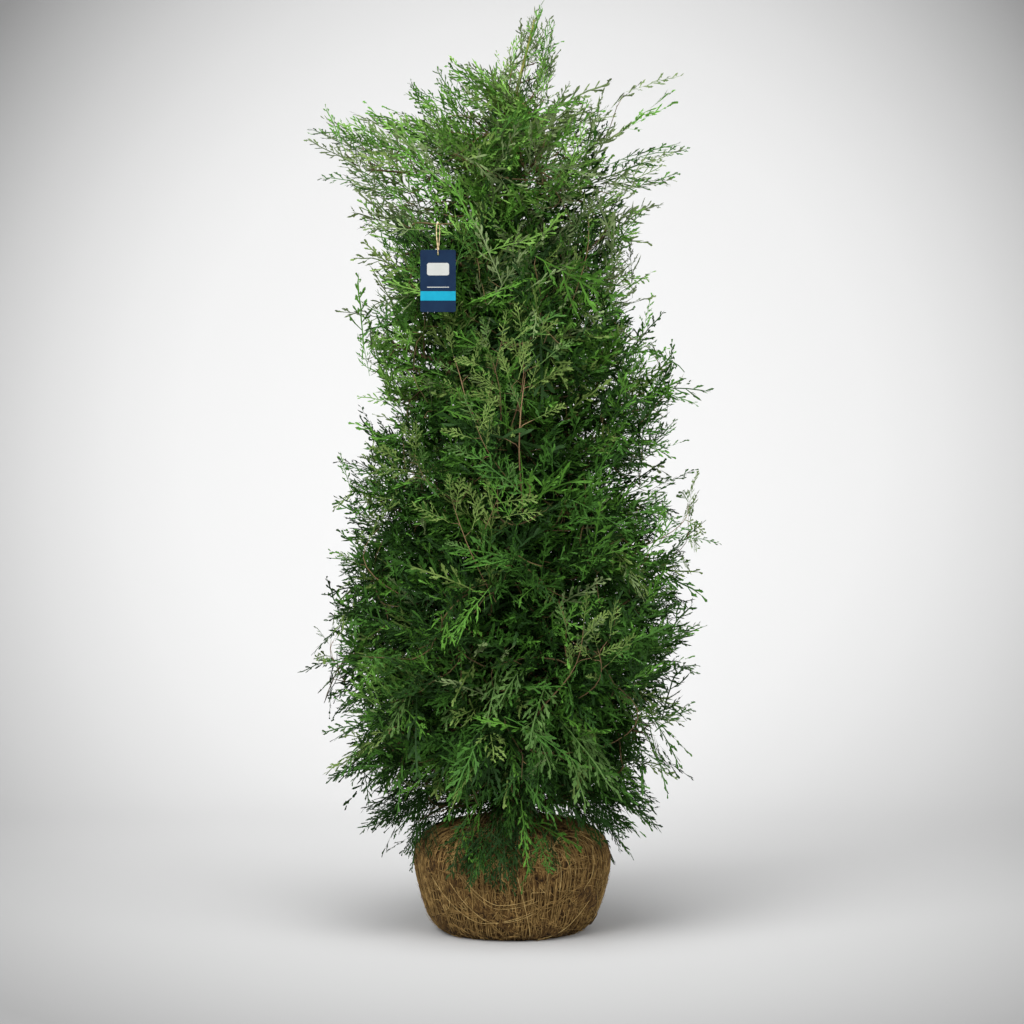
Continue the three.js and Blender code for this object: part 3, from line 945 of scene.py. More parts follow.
def growing_way(mass, point, away, rng):
    """The way a shoot grows at a point: out and up or down as its height asks, drawn towards
    the tip of its mass and away from the limb, and never back in."""
    climb = radians(by_height(CLIMB, point[2]))
    out = outward_at(point)
    wild = cos(climb) * out + sin(climb) * UP
    main = unit(mass.tip - mass.limb[0])
    if mass.airy:
        way = 0.45 * wild + 0.95 * main + 0.35 * away + rng.normal(0, 0.32, 3)
    else:
        way = 0.9 * wild + 0.35 * main + 0.45 * away + rng.normal(0, 0.44, 3)
    inward = min(0.0, float(way @ out))
    return unit(way - 1.7 * inward * out)


def cavity(point):
    """How deep a hollow of the crown's side lies at a point, from 0 to about a half."""
    return max(0.0, noise.noise(Vector(point) * CAVITY_SCALE))


def spray_kind(mass, height, rng):
    if mass.airy:
        return "lace" if rng.random() < 0.6 else "fern"
    if height < 0.34 and rng.random() < 0.35:
        return "frond"
    return "fern" if rng.random() < 0.7 else "fan"


def left_open(mass, point, normal, rng):
    """Whether a spray is left out, so that its mass has an open end."""
    end_share = norm(point - mass.limb[0]) / norm(mass.tip - mass.limb[0])
    open_share = OPEN_END.get(mass.name, 0.0) * np.interp(end_share, OPEN_FROM, (0.0, 1.0))
    if rng.random() < open_share:
        return True
    below = normal[2] < -0.1 and end_share > 0.5
    return below and rng.random() < OPEN_UNDERSIDE.get(mass.name, 0.0)


def grow_mass(crown, mass, hollows, rng):
    """The sprays of one mass, those nearest its limb first, with the twigs that bear them."""
    pull = PULLED_IN.get(mass.name, 0.0)
    todo = []
    for point, normal, open_air in surface_samples(mass, rng) + hollows:
        if not open_air and rng.random() > INNER_SHARE:
            continue
        height = point[2]
        near = nearest_on(mass.limb, point)
        along = growing_way(mass, point, unit(point - near), rng)
        along = unit(along - 0.25 * normal * max(0.0, float(along @ normal)))
        face = unit(0.8 * normal + rng.normal(0, 0.62, 3))
        length = by_height(SPRAY_LENGTH, height) * rng.uniform(0.7, 1.3)
        length = min(length, 1.15 * norm(point - near) + 0.05)
        kind = spray_kind(mass, height, rng)
        if not open_air:
            kind = "inner"
        if left_open(mass, point, normal, rng):
            continue
        hollow = 0.0 if mass.airy else cavity(point)
        stands_out = open_air and rng.random() < STAND_OUT_SHARE
        if stands_out:
            kind = "shoot"
            point = point + along * (rng.uniform(0.1, 1.0) * STAND_OUT - 0.5 * pull)
        else:
            inset = rng.uniform(*INSET) * (0.5 if mass.airy else 1.0)
            point = point - along * inset - outward_at(point) * (pull + hollow * CAVITY_DEPTH)
        if mass.name == "foliage_plume_4":
            point = point - pull * UP
        droop = by_height(SAG, height) * rng.uniform(0.4, 1.6)
        base = point - length * along + length * droop * UP
        # Painted shade: sprays in the gaps between masses, and in the hollows of the side by their
        # depth, are dealt the darker tones.
        dark = 0.6 if not open_air else 0.0 if stands_out else 2.2 * hollow
        todo.append((norm(base - near), base, along, face, length, droop, kind, stands_out, dark))
    todo.sort(key=lambda row: row[0])
    skeleton = Skeleton(mass)
    for _, base, along, face, length, droop, kind, stands_out, dark in todo:
        tone = tone_at(base[2], rng, mass, stands_out)
        tip = base + length * along
        if any(norm(tip - spot) < reach for spot, reach in BRIGHT_SPOTS):
            tone = "fresh" if rng.random() < 0.6 else "mid"
        # Painted shade: the darker tones for the sprays in gaps and hollows.
        if dark:
            tone = "deep" if rng.random() < dark else "forest" if dark > 0.3 else tone
        crown.spray(kind, tone, base, along, face, length, droop, rng, skeleton)
    grow_shade(crown, mass, rng)
    add_wood(crown, skeleton, mass, rng)


SHADE_SPRAYS = 44  # inside each mass
SHADE_DEPTH = 0.045  # how far inside the crown's outline they stay
SHADE_HEIGHTS = (0.24, 1.06)
SHADE_LENGTH = (0.08, 0.13)
LOOKS_OUT = (-0.7, -0.3, 0.0, 0.4, 0.9)  # slopes of the rays that test whether a point is hidden
LOOKS_ASIDE = (0.8, -0.8)
SHADE_LOOK = 0.4  # how far they reach


def hidden(point, depth):
    """Whether foliage lies outside a point, seen level and from above, below and both sides."""
    if ENVELOPE.depth(point) < depth:
        return False
    out = outward_at(point)
    side = np.cross(UP, out)
    looks = [unit(out + slope * UP) for slope in LOOKS_OUT]
    looks += [unit(out + slope * side) for slope in LOOKS_ASIDE]
    return all(meets_crown(point, look, SHADE_LOOK)[0] is not None for look in looks)


def grow_shade(crown, mass, rng):
    """Coarse sprays deep inside, along the limb, so that little light falls through, all in the
    darkest tone as painted shade.
    """
    if mass.airy:
        return
    depth = SHADE_DEPTH + PULLED_IN.get(mass.name, 0.0)
    for _ in range(SHADE_SPRAYS):
        near = mass.limb[rng.integers(len(mass.limb) // 4, len(mass.limb))]
        way = unit(rng.normal(0, 1, 3) + 0.5 * unit(mass.tip - mass.limb[0]))
        face = unit(rng.normal(0, 1, 3) + 0.6 * outward_at(near + 1e-4))
        length = rng.uniform(*SHADE_LENGTH)
        across = unit(np.cross(face, way)) * 0.3 * length
        spots = [near + share * length * way for share in (0.4, 0.75, 1.1)]
        spots += [spots[1] + across, spots[1] - across]
        levels = [spot[2] for spot in spots]
        if min(levels) > SHADE_HEIGHTS[0] and max(levels) < SHADE_HEIGHTS[1]:
            if all(hidden(spot, depth) for spot in spots):
                # Painted shade: always the darkest tone, as the shade deep inside.
                crown.spray("shade", "deep", near, way, face, length, 0.05, rng)


def add_wood(crown, skeleton, mass, rng):
    """A mass's twigs, each as thick as what it bears asks, and its limb."""
    for line, load in zip(skeleton.twigs, skeleton.load):
        thick = 0.00048 * (1 + load) ** 0.45
        crown.twigs.add(taper(line, thick * 1.25, thick))
    root = 0.003 if mass.airy else 0.0056 if mass.bough else 0.0042
    limb = mass.bare_limb()
    crown.limbs.add(bark_tube(limb, root * np.linspace(1, 0.16, len(limb)) ** 1.2, 8, 0.05, rng))


# ---- Growth between and beyond the masses ----------------------------------------------------

# Sprays on short twigs from the stem: the old dark foliage close to it, and growth just above
# the ball, where the lowest twigs leave it. Both take mostly the darkest tone, partly as painted
# shade, close to the stem and under the crown. Each row has the kind, how many, the heights, how
# far out and up the twig ends, how wildly the spray grows on each axis, what its face leans to
# and how wildly, and its longest length and its sag.
STEM_SPRAYS = (
    ("shade", 210, (0.24, 1.04), 0.06, 0.015, (0.5, 0.5, 0.5), (0.8, 0.0), 1.0, 0.12, 0.05),
    ("fern", 60, (0.185, 0.25), 0.07, 0.01, (0.4, 0.4, 0.2), (0.6, 0.7), 0.5, 0.11, 0.12),
)


def grow_from_stem(crown, rng):
    for kind, count, heights, reach, rise, wild, lean, turn, longest, sag in STEM_SPRAYS:
        for height in rng.uniform(*heights, count):
            out = compass(rng.uniform(0, 2 * pi))
            start = stem_at(height) + 0.012 * out
            base = start + rng.uniform(0.02, reach) * out + rise * UP
            way = unit(out + rng.normal(0, wild, 3))
            crown.twigs.add(tube(hermite(start, 0.03 * out, base, 0.03 * way), 0.0008, 3))
            face = unit(lean[0] * out + lean[1] * UP + rng.normal(0, turn, 3))
            # Painted shade: the shade row always, and the other mostly, take the darkest tone.
            tone = "deep" if kind == "shade" or rng.random() < 0.7 else "forest"
            crown.spray(kind, tone, base, way, face, rng.uniform(0.07, longest), sag, rng)


RUNNERS = 22
RUNNER_LENGTH = (0.08, 0.15)
RUNNER_HEIGHTS = (0.3, 0.95)
# Some stand in fixed places: compass angle and height of the foot, length, lean in radians, and
# radius. The first is the long bare shoot of the front.
FRONT_RUNNERS = [
    (-81, 0.615, 0.22, -0.02, 0.0016),
    (-84, 0.66, 0.12, -0.55, 0.0009),
    (-100, 0.74, 0.14, -0.5, 0.0011),
    (-103, 0.78, 0.11, 0.35, 0.0008),
    (-84, 0.47, 0.16, -0.5, 0.0010),
    (-78, 0.33, 0.15, 0.3, 0.0010),
    (-34, 0.27, 0.1, 0.35, 0.0010),
    (-97, 0.5, 0.16, -0.3, 0.0009),
]
RUNNER_STEPS = 9
RUNNER_RADIUS = 0.2  # about the crown's, by which a length across is turned to an angle
RUNNER_SPRAY_LENGTH = (0.04, 0.07)
RUNNER_SPRAYS = ((4, 1), (5, -1), (6, 1), (7, -1), (8, 0))  # the step, and to which side
FROM_OUTSIDE = 0.6  # how far from the stem a ray starts back towards it


def crown_side(angle, height):
    """The point of the crown's side at a compass angle and height, as its sprays leave it."""
    out = compass(angle)
    middle = stem_at(height)
    place, _, face, distance = meets_crown(middle + FROM_OUTSIDE * out, -out, FROM_OUTSIDE)
    if place is None:
        return None
    pull = PULLED_IN.get(MASSES[FACE_OWNER[face]].name, 0.0)
    return middle + (FROM_OUTSIDE - distance - pull) * out


def runner_line(angle, foot, length, lean, rng):
    """A line up the crown's side that comes out of it low down and bends as it climbs."""
    line = []
    sway = rng.uniform(-0.12, 0.12)
    for t in np.linspace(0, 1, RUNNER_STEPS):
        turn = (length * sin(lean) * t + sway * length * sin(pi * t)) / RUNNER_RADIUS
        place = crown_side(angle + turn, foot + length * t * cos(lean))
        if place is None:
            return None
        reach = min(ENVELOPE.reach(place) - 0.028, ENVELOPE.reach_of(place) + 0.012)
        dip = 0.075 * (1 - t) ** 2.4
        line.append(stem_at(place[2]) + (reach - dip) * outward_at(place))
    line = np.array(line)
    for _ in range(4):
        line[1:-1] = (line[:-2] + 2 * line[1:-1] + line[2:]) / 4
    return line


def grow_runners(crown, rng):
    """Longer shoots that lie over the crown's side, bare below and leafy towards the end."""
    rows = [(radians(degrees), *rest) for degrees, *rest in FRONT_RUNNERS]
    for _ in range(RUNNERS):
        angle = rng.uniform(0, 2 * pi)
        foot = rng.uniform(*RUNNER_HEIGHTS)
        length = rng.uniform(*RUNNER_LENGTH)
        rows.append((angle, foot, length, rng.normal(0, 0.4), rng.uniform(0.0006, 0.001)))
    for angle, foot, length, lean, thick in rows:
        line = runner_line(angle, foot, length, lean, rng)
        if line is None:
            continue
        crown.bare_twigs.add(taper(line, thick, 0.4 * thick, 5))
        out = outward_at(line[4])
        for place, side in RUNNER_SPRAYS:
            start = line[place]
            way = ways_along(line)[place]
            across = unit(np.cross(out, way))
            aim = unit(way + 0.8 * side * across + rng.normal(0, 0.2, 3))
            face = unit(out + rng.normal(0, 0.35, 3))
            size = rng.uniform(*RUNNER_SPRAY_LENGTH)
            if side and rng.random() < 0.6:
                fork = unit(0.7 * way + side * across)
                end = start + rng.uniform(0.014, 0.03) * fork
                stalk = hermite(start, 0.02 * way, end, 0.02 * fork)
                crown.bare_twigs.add(taper(stalk, 0.5 * thick, 0.3 * thick))
                start = end
            kind = "lobed" if rng.random() < 0.7 else "fern"
            tone = "olive" if rng.random() < 0.75 else "frond"
            crown.spray(kind, tone, start, aim, face, size, 0.12, rng)


# Long loose shoots that reach out past the rest: from which mass, how many, how high up it as a
# share, how long, how steeply they climb in degrees, and how far past the mass the tips lie.
WHIPS = [
    ("foliage_waist_1", 7, (0.6, 1.0), (0.1, 0.14), 30, 0.008),
    ("foliage_shoulder_1", 6, (0.1, 0.6), (0.1, 0.14), 30, 0.024),
    ("foliage_neck_1", 5, (0.0, 0.4), (0.1, 0.13), 26, 0.012),
    ("foliage_plume_1", 24, (0.1, 0.8), (0.11, 0.16), 22, -0.004),
    ("foliage_plume_3", 16, (0.35, 0.95), (0.1, 0.14), 20, 0.006),
    ("foliage_plume_4", 7, (0.4, 0.9), (0.08, 0.11), 60, -0.006),
    ("foliage_plume_5", 4, (0.5, 1.0), (0.08, 0.12), 52, 0.015),
    ("foliage_leader", 9, (0.4, 1.0), (0.06, 0.1), 72, 0.02),
    ("foliage_neck_3", 10, (0.0, 0.55), (0.1, 0.14), 26, 0.05),
    ("foliage_shoulder_3", 3, (0.7, 1.0), (0.09, 0.12), 24, 0.012),
    ("foliage_low_1", 3, (0.2, 0.7), (0.1, 0.13), 12, -0.004),
    ("foliage_waist_3", 6, (0.5, 1.0), (0.09, 0.12), 45, 0.03),
    ("foliage_middle_1", 5, (0.6, 1.0), (0.09, 0.12), 48, 0.02),
    ("foliage_skirt_1", 7, (0.2, 1.0), (0.08, 0.11), -32, 0.026),
    ("foliage_skirt_3", 5, (0.3, 1.0), (0.08, 0.11), -35, 0.02),
    ("foliage_low_4", 4, (0.0, 0.5), (0.08, 0.11), -25, 0.012),
]
SHARPEST_TURN = 0.45  # one less the cosine between a whip and the twig that bears it


def grow_whips(crown, rng):
    by_name = {mass.name: mass for mass in MASSES}
    for name, count, band, lengths, climb, reach in WHIPS:
        mass = by_name[name]
        low, high = mass.points[:, 2].min(), mass.points[:, 2].max()
        side = outward_at(mass.tip)
        for _ in range(count):
            level = low + rng.uniform(*band) * (high - low)
            near = mass.points[np.abs(mass.points[:, 2] - level) < 0.04]
            if not len(near):
                continue
            edge = near[np.argmax(near @ side + rng.normal(0, 0.02, len(near)))]
            tilt = radians(climb + rng.normal(0, 12))
            way = unit(cos(tilt) * unit(side + rng.normal(0, 0.25, 3)) + sin(tilt) * UP)
            length = rng.uniform(*lengths)
            base = edge + rng.uniform(0.3, 1.0) * reach * way - length * way
            gap = base - mass.limb
            distance = norm(gap, axis=1) + 0.002
            turn = 1 - gap @ way / distance
            best = np.argmin(distance * (1 + 2 * turn))
            if turn[best] > SHARPEST_TURN:
                continue
            limb = mass.limb[best]
            twig = hermite(limb, 0.5 * (base - limb), base, 0.05 * way, 5)
            crown.twigs.add(taper(twig, 0.0012, 0.0008, 4))
            face = unit(rng.normal(0, 1, 3) - BACK)
            tone = tone_at(base[2], rng, mass, True)
            kind = "arch" if length > 0.1 and mass.airy else "lace"
            crown.spray(kind, tone, base, way, face, length, 0.12, rng)


# Sprays that hang over the ball's side, and others that droop past its shoulder. Each kind has
# the reach and the height of a spray's foot, and the reach of its tip. Its groups have a compass
# angle in degrees, how many sprays, and how far down the lowest tips reach.
HANGING = ((0.12, 0.15), (0.158, 0.185), (0.15, 0.168))
DROOPING = ((0.11, 0.15), (0.2, 0.235), (0.18, 0.225))
HANGER_ROOT = 0.19  # the height at which their twigs leave the stem
HANGERS = [
    (HANGING, [(-116, 10, 0.085), (-99, 9, 0.08), (-86, 4, 0.1), (-65, 2, 0.1), (20, 8, 0.09)]),
    (HANGING, [(100, 10, 0.085), (165, 7, 0.1), (-150, 4, 0.095)]),
    (DROOPING, [(-178, 9, 0.155), (-158, 8, 0.16), (-18, 8, 0.155), (-42, 8, 0.15)]),
    (DROOPING, [(2, 7, 0.165), (30, 5, 0.16), (60, 5, 0.16), (90, 5, 0.16), (120, 5, 0.16)]),
]


def grow_hangers(crown, rng):
    rows = [(kind, *row) for kind, group in HANGERS for row in group for _ in range(row[1])]
    for (feet, levels, tips), degrees, _, lowest in rows:
        out = compass(radians(degrees + rng.normal(0, 7)))
        base = rng.uniform(*feet) * out + rng.uniform(*levels) * UP
        tip = rng.uniform(*tips) * out + (lowest + rng.uniform(0, 0.03)) * UP
        tip = tip + rng.normal(0, 0.012, 3) * (1, 1, 0)
        way = unit(tip - base)
        twig = hermite(stem_at(HANGER_ROOT) + 0.05 * out, 0.06 * out, base, 0.05 * way, 6)
        crown.twigs.add(taper(twig, 0.0011, 0.0006))
        tone = "deep" if rng.random() < 0.75 else "forest"
        kind = "frond" if rng.random() < 0.5 else "fern"
        face = unit(out + rng.normal(0, 0.4, 3))
        crown.spray(kind, tone, base, way, face, norm(tip - base), 0.02, rng)


# Large soft fronds that hang over the lower crown: the first ones stand in fixed places, by
# compass angle in degrees and height.
FRONDS = 10
FROND_HEIGHTS = (0.28, 0.44)
FROND_LENGTH = (0.1, 0.135)
FRONT_FRONDS = [
    (-76, 0.4),
    (-70, 0.37),
    (-63, 0.34),
    (-82, 0.33),
    (-57, 0.3),
    (-93, 0.4),
    (-106, 0.38),
    (-68, 0.31),
]


def grow_fronds(crown, rng):
    rows = [(radians(degrees), height) for degrees, height in FRONT_FRONDS]
    rows += [(rng.uniform(0, 2 * pi), rng.uniform(*FROND_HEIGHTS)) for _ in range(FRONDS)]
    for angle, height in rows:
        place = crown_side(angle, height)
        if place is None:
            continue
        out = outward_at(place)
        aim = unit(0.6 * out - 0.5 * UP + rng.normal(0, 0.5) * np.cross(UP, out))
        start = place - 0.066 * out + 0.03 * UP
        root = stem_at(height + 0.06) + 0.03 * out
        twig = hermite(root, 0.1 * out, start, 0.08 * unit(out - 0.1 * UP), 7)
        crown.twigs.add(taper(twig, 0.0016, 0.0009, 4))
        face = unit(out + 0.7 * UP + rng.normal(0, 0.25, 3))
        length = rng.uniform(*FROND_LENGTH)
        tone = "frond" if rng.random() < 0.7 else "forest"
        crown.spray("soft_frond", tone, start, aim, face, length, 0.25, rng)


# ---- The crown -------------------------------------------------------------------------------

HOOK_DROP = 0.0032  # from the top of the loop to the middle of the twig


def hang_twig(crown, rng):
    """The twig that carries the label: it passes under the loop's top, out of the nearest mass."""
    low, high = box_of("label_string")
    hook = (low + high) / 2
    hook[2] = high[2] - HOOK_DROP
    mass = min(MASSES, key=lambda m: norm(m.centre - hook))
    near = nearest_on(mass.limb, hook)
    side = unit(hook - near)
    side = unit(side - 0.5 * side[1] * BACK)
    line = smooth_line([near, hook - 0.04 * side + 0.004 * UP, hook, hook + 0.03 * side], 6)
    crown.twigs.add(taper(line, 0.0015, 0.0007, 5))
    crown.spray("fern", "mid", line[-1], side, unit(0.3 * UP - BACK), 0.05, 0.05, rng)


def grow_crown():
    crown = Crown()
    hollows = hollow_tips(seeded(98))
    for number, mass in enumerate(MASSES):
        grow_mass(crown, mass, hollows[number], seeded(100 + number))
    grow_from_stem(crown, seeded(99))
    grow_whips(crown, seeded(97))
    grow_runners(crown, seeded(96))
    grow_hangers(crown, seeded(95))
    grow_fronds(crown, seeded(94))
    hang_twig(crown, seeded(5))
    return crown


def add_crown(crown):
    """The pieces of what has grown. Two of them stand for the masses of foliage."""
    crown.limbs.build("bough_bark", BARK, "bark", [m.bough for m in MASSES if m.bough])
    crown.twigs.build("twigs", TWIG, "bark")
    crown.bare_twigs.build("bare_twigs", BARE_TWIG, "bark")
    young = ("foliage_neck", "foliage_plume", "foliage_leader")
    nodes = {
        "fresh": [m.name for m in MASSES if m.name.startswith(young)],
        "forest": [m.name for m in MASSES if not m.name.startswith(young)],
    }
    for tone, heap in crown.sprays.items():
        slot = "fresh_foliage" if tone == "fresh" else "foliage"
        heap.build(f"sprays_{tone}", LEAF_TONES[tone], slot, nodes.get(tone, ()))


# ---- Root ball -------------------------------------------------------------------------------


def ball_profile():
    """Radius and height from the foot of the ball to the flat seat at its top, smoothed."""
    rows = []
    for height, ring in level_rings("root_ball"):
        radii = norm(ring, axis=1)
        rows.append((radii[radii > 0.01].mean(), height))
    return smooth_line(rows, 12)


BALL = ball_profile()
BALL_RUN = np.concatenate([[0], np.cumsum(norm(np.diff(BALL, axis=0), axis=1))])
BALL_RUN /= BALL_RUN[-1]
BALL_FACTS = (*BALL.T, *ways_along(BALL).T)  # radius, height, and how fast each grows


def on_ball(angle, run, lift):
    """A point over the ball's skin: compass angle, share of the way up its side, and lift."""
    angle, run, lift = np.broadcast_arrays(angle, run, lift)
    radius, height, spread, rise = (np.interp(run, BALL_RUN, facts) for facts in BALL_FACTS)
    lumps = 1 + 0.008 * np.sin(2 * angle + 0.6) + 0.008 * np.sin(3 * angle + 25 * height)
    radius = radius * lumps + lift * rise
    height = np.maximum(height - lift * spread, 0.0004)
    return np.stack([radius * np.cos(angle), radius * np.sin(angle), height], axis=-1)


BALL_SIDES = 150
BALL_RINGS = 54
BALL_LUMPS = ((0.0011, 4, 7), (0.0009, 11, 16), (0.0006, 24, 31))  # size, and waves round it
LUMP_WAVES = 5  # of each size


def make_skin():
    """The matted soil and coir behind the net, uneven and closed underneath."""
    rng = seeded(2)
    around = np.arange(BALL_SIDES) * 2 * pi / BALL_SIDES
    angle, run = np.meshgrid(around, np.linspace(0, 1, BALL_RINGS))
    lift = np.zeros_like(run)
    for size, fewest, most in BALL_LUMPS:
        for _ in range(LUMP_WAVES):
            turns = rng.integers(fewest, most + 1) * rng.choice([-1, 1])
            rise = rng.uniform(0.4, 1.0) * most
            phase = rng.uniform(0, 2 * pi)
            lift += size * np.sin(turns * angle + rise * run * 3 + phase) / 1.6
    lift += rng.normal(0, 0.0003, lift.shape)
    lift *= np.clip(run / 0.06, 0, 1)
    points = on_ball(angle, run, lift)
    points[0, :, 2] = 0.0
    points = np.concatenate([points.reshape(-1, 3), [BALL[-1, 1] * UP, 0 * UP]])
    triangles = capped_bands(BALL_RINGS, BALL_SIDES)
    add_piece("matted_ball", points, triangles, soil_finish(), "netted_soil", ["root_ball"])


COLLAR_SIDES = 120
COLLAR_GAP = 0.0015  # between it and the stem
PLEAT_DEPTH = 0.0018
RAGGED_RIM = 0.0016  # how far its rim goes up and down
# Its outline, from the foot up and back down inside: share of the outer radius, and of the height
COLLAR_OUTLINE = (
    (1.0, 0.0),
    (0.95, 0.18),
    (0.87, 0.45),
    (0.82, 0.72),
    (0.85, 0.98),
    (0.79, 1.0),
    (0.72, 0.8),
)


def make_ruff():
    """The net's mouth, gathered in pleats round the foot of the stem."""
    low, high = box_of("jute_collar")
    middle = (low + high)[:2] / 2
    outer = (high[0] - low[0]) / 2
    bore = float(stem_radius(STEM_FOOT)) + COLLAR_GAP
    profile = [(outer * reach, share) for reach, share in COLLAR_OUTLINE] + [(bore, 0.5)]
    angle = np.arange(COLLAR_SIDES) * 2 * pi / COLLAR_SIDES
    phase = seeded(4).uniform(0, 7, 2)
    pleats = 0.6 * np.sin(17 * angle + phase[0]) + 0.4 * np.sin(29 * angle + phase[1])
    ragged = 0.5 * np.sin(7 * angle + phase[1]) + 0.5 * np.sin(23 * angle)
    rings = []
    for radius, share in smooth_line(profile, 4):
        pleated = radius > bore + 0.002
        reach = radius + PLEAT_DEPTH * min(1.0, 0.3 + share) * pleats * pleated
        height = low[2] + (high[2] - low[2]) * share + RAGGED_RIM * ragged * (share > 0.9)
        x = middle[0] + np.cos(angle) * reach
        y = middle[1] + np.sin(angle) * reach
        rings.append(np.stack([x, y, np.broadcast_to(height, COLLAR_SIDES)], axis=1))
    rings.append(np.stack([x, y, np.full(COLLAR_SIDES, low[2])], axis=1))
    finish = fibre_finish("jute_ruff", (52, 38, 18), (112, 90, 54), 140)
    triangles = bands(len(rings), COLLAR_SIDES, closed=True)
    add_piece("jute_ruff", np.concatenate(rings), triangles, finish, "jute", ["jute_collar"])


def waver(rng, t, size, waves=3):
    """A smooth random wander along a line."""
    out = np.zeros_like(t)
    for k in range(1, waves + 1):
        swing = rng.normal(0, size / k)
        turns = k * t * rng.uniform(0.7, 1.3)
        out += swing * np.sin(2 * pi * turns + rng.uniform(0, 7))
    return out


def ribbon(line, width, face):
    """A thin fibre, flat to what it lies on, that tapers to both ends."""
    side = (units(np.cross(face, ways_along(line))) * (width / 2))[1:-1]
    middle = np.stack([line[1:-1] + side, line[1:-1] - side], axis=1).reshape(-1, 3)
    end = len(middle)
    triangles = [*ladder(len(side)), (end - 2, end - 1, end), (1, 0, end + 1)]
    return np.concatenate([middle, line[-1:], line[:1]]), np.array(triangles)


class Threads(Heap):
    """Round threads laid over the ball."""

    def lay(self, angle, run, lift, radius, sides=4):
        self.add(tube(on_ball(angle, run, lift), radius, sides))


NET_THREADS = 330
CROSS_THREADS = 120
LOOSE_FIBRES = 3000
STRAY_STRAWS = 16
KNOTS = (-64, 38, 142)  # compass angles of the gathered knots, in degrees
KNOT_RUN = 0.6  # share of the way up the side at which the net is gathered
SLINGS = 4
FALLING_THREADS = 7
ARCHES = 4


def net_threads(rng):
    """The net's threads: most run up the side, close together, and others cross them."""
    heap = Threads()
    t = np.linspace(0, 1, 17)
    for number in range(NET_THREADS):
        angle = 2 * pi * number / NET_THREADS + rng.normal(0, 0.012)
        low = rng.uniform(0.0, 0.08) if rng.random() < 0.75 else rng.uniform(0.1, 0.5)
        high = rng.uniform(0.9, 1.0) if rng.random() < 0.75 else rng.uniform(0.55, 0.9)
        path = angle + waver(rng, t, 0.02) + rng.normal(0, 0.05) * t
        lift = 0.0006 + np.abs(waver(rng, t, 0.0009))
        heap.lay(path, low + (high - low) * t, lift, rng.uniform(0.0004, 0.00075), 3)
    for _ in range(CROSS_THREADS):
        middle = rng.uniform(0, 2 * pi)
        half = rng.uniform(0.2, 0.7)
        run = rng.beta(1.3, 1.6) * 0.9 + rng.normal(0, 0.05) * (2 * t - 1) + waver(rng, t, 0.02)
        lift = 0.001 + np.abs(waver(rng, t, 0.0008))
        heap.lay(middle + half * (2 * t - 1), run, lift, rng.uniform(0.0004, 0.0007), 3)
    return heap


def loose_fibres(rng):
    """Short fibres of the matting, at all angles and partly standing off it."""
    heap = Heap()
    t = np.linspace(0, 1, 5)
    for _ in range(LOOSE_FIBRES):
        angle = rng.uniform(0, 2 * pi)
        run = rng.uniform(0.0, 1.0)
        radius = max(np.interp(run, BALL_RUN, BALL[:, 0]), 0.03)
        length = rng.uniform(0.012, 0.045)
        lean = rng.normal(0, 0.8)
        path = angle + length / radius * sin(lean) * t + waver(rng, t, 0.012, 2)
        climb = run + length / 0.22 * cos(lean) * t + waver(rng, t, 0.01, 2)
        lift = 0.0012 + np.abs(waver(rng, t, 0.0012, 2))
        if rng.random() < 0.16:
            lift = lift + rng.uniform(0.001, 0.006) * t**2
        line = on_ball(path, climb, lift)
        face = unit(line[2] * (1, 1, 0.3)) + rng.normal(0, 0.5, 3)
        heap.add(ribbon(line, rng.uniform(0.0005, 0.0009), unit(face)))
    return heap


def straw_threads(rng):
    """Pale stiff threads at each knot: nested slings beside it, a fan that falls from it, arches
    over its shoulder and one straight thread across. A few more stray over the ball."""
    heap = Threads()
    t = np.linspace(0, 1, 22)
    s = 2 * t - 1
    for knot in np.radians(KNOTS):
        for k in range(SLINGS):
            middle = knot - 0.56 - 0.03 * k + rng.normal(0, 0.07)
            half = 0.3 + 0.08 * k + rng.uniform(-0.06, 0.1)
            bottom = 0.3 - 0.055 * k + rng.normal(0, 0.016)
            left = (0.17 + 0.03 * k) * np.maximum(-s, 0) ** 1.7
            right = (0.04 + 0.012 * k) * np.maximum(s, 0) ** 2
            radius = rng.uniform(0.0002, 0.0004)
            heap.lay(middle + half * s, bottom + left + right, 0.0024, radius)
        heap.lay(knot - 0.1 + 0.65 * t, 0.035 + 0.24 * t**2, 0.0024, 0.0005)
        for k in range(FALLING_THREADS):
            spread = -0.34 + 0.1 * k + rng.normal(0, 0.03)
            run = KNOT_RUN - rng.uniform(0.14, 0.28) * t**1.2
            path = knot + spread * t + 0.4 * spread * np.sin(pi * t)
            heap.lay(path, run, 0.0026, rng.uniform(0.0002, 0.00045))
        for k in range(ARCHES):
            run = KNOT_RUN + (0.05 + 0.03 * k) * np.sin(pi * t * 0.9) - 0.05 * t**2
            heap.lay(knot + (0.4 + 0.12 * k) * t, run, 0.0022, 0.0004)
        heap.lay(knot - 0.4 + 0.18 * t, 0.44 - 0.38 * t, 0.0034, 0.0005)
    for _ in range(STRAY_STRAWS):
        start = rng.uniform(0, 2 * pi)
        turn = rng.uniform(-0.5, 0.5)
        low = rng.uniform(0.05, 0.5)
        path = start + turn * t + waver(rng, t, 0.03)
        climb = low + rng.uniform(-0.1, 0.35) * t + waver(rng, t, 0.02)
        heap.lay(path, climb, 0.0022, rng.uniform(0.0003, 0.00045))
    return heap


def make_ball():
    make_skin()
    make_ruff()
    rng = seeded(3)
    for make, name, dark, light in (
        (net_threads, "net_jute", (90, 66, 31), (166, 136, 82)),
        (loose_fibres, "coir", (76, 53, 23), (166, 135, 80)),
        (straw_threads, "straw", (146, 118, 68), (198, 172, 114)),
    ):
        make(rng).build(make.__name__, fibre_finish(name, dark, light), "jute")


# ---- Label -----------------------------------------------------------------------------------

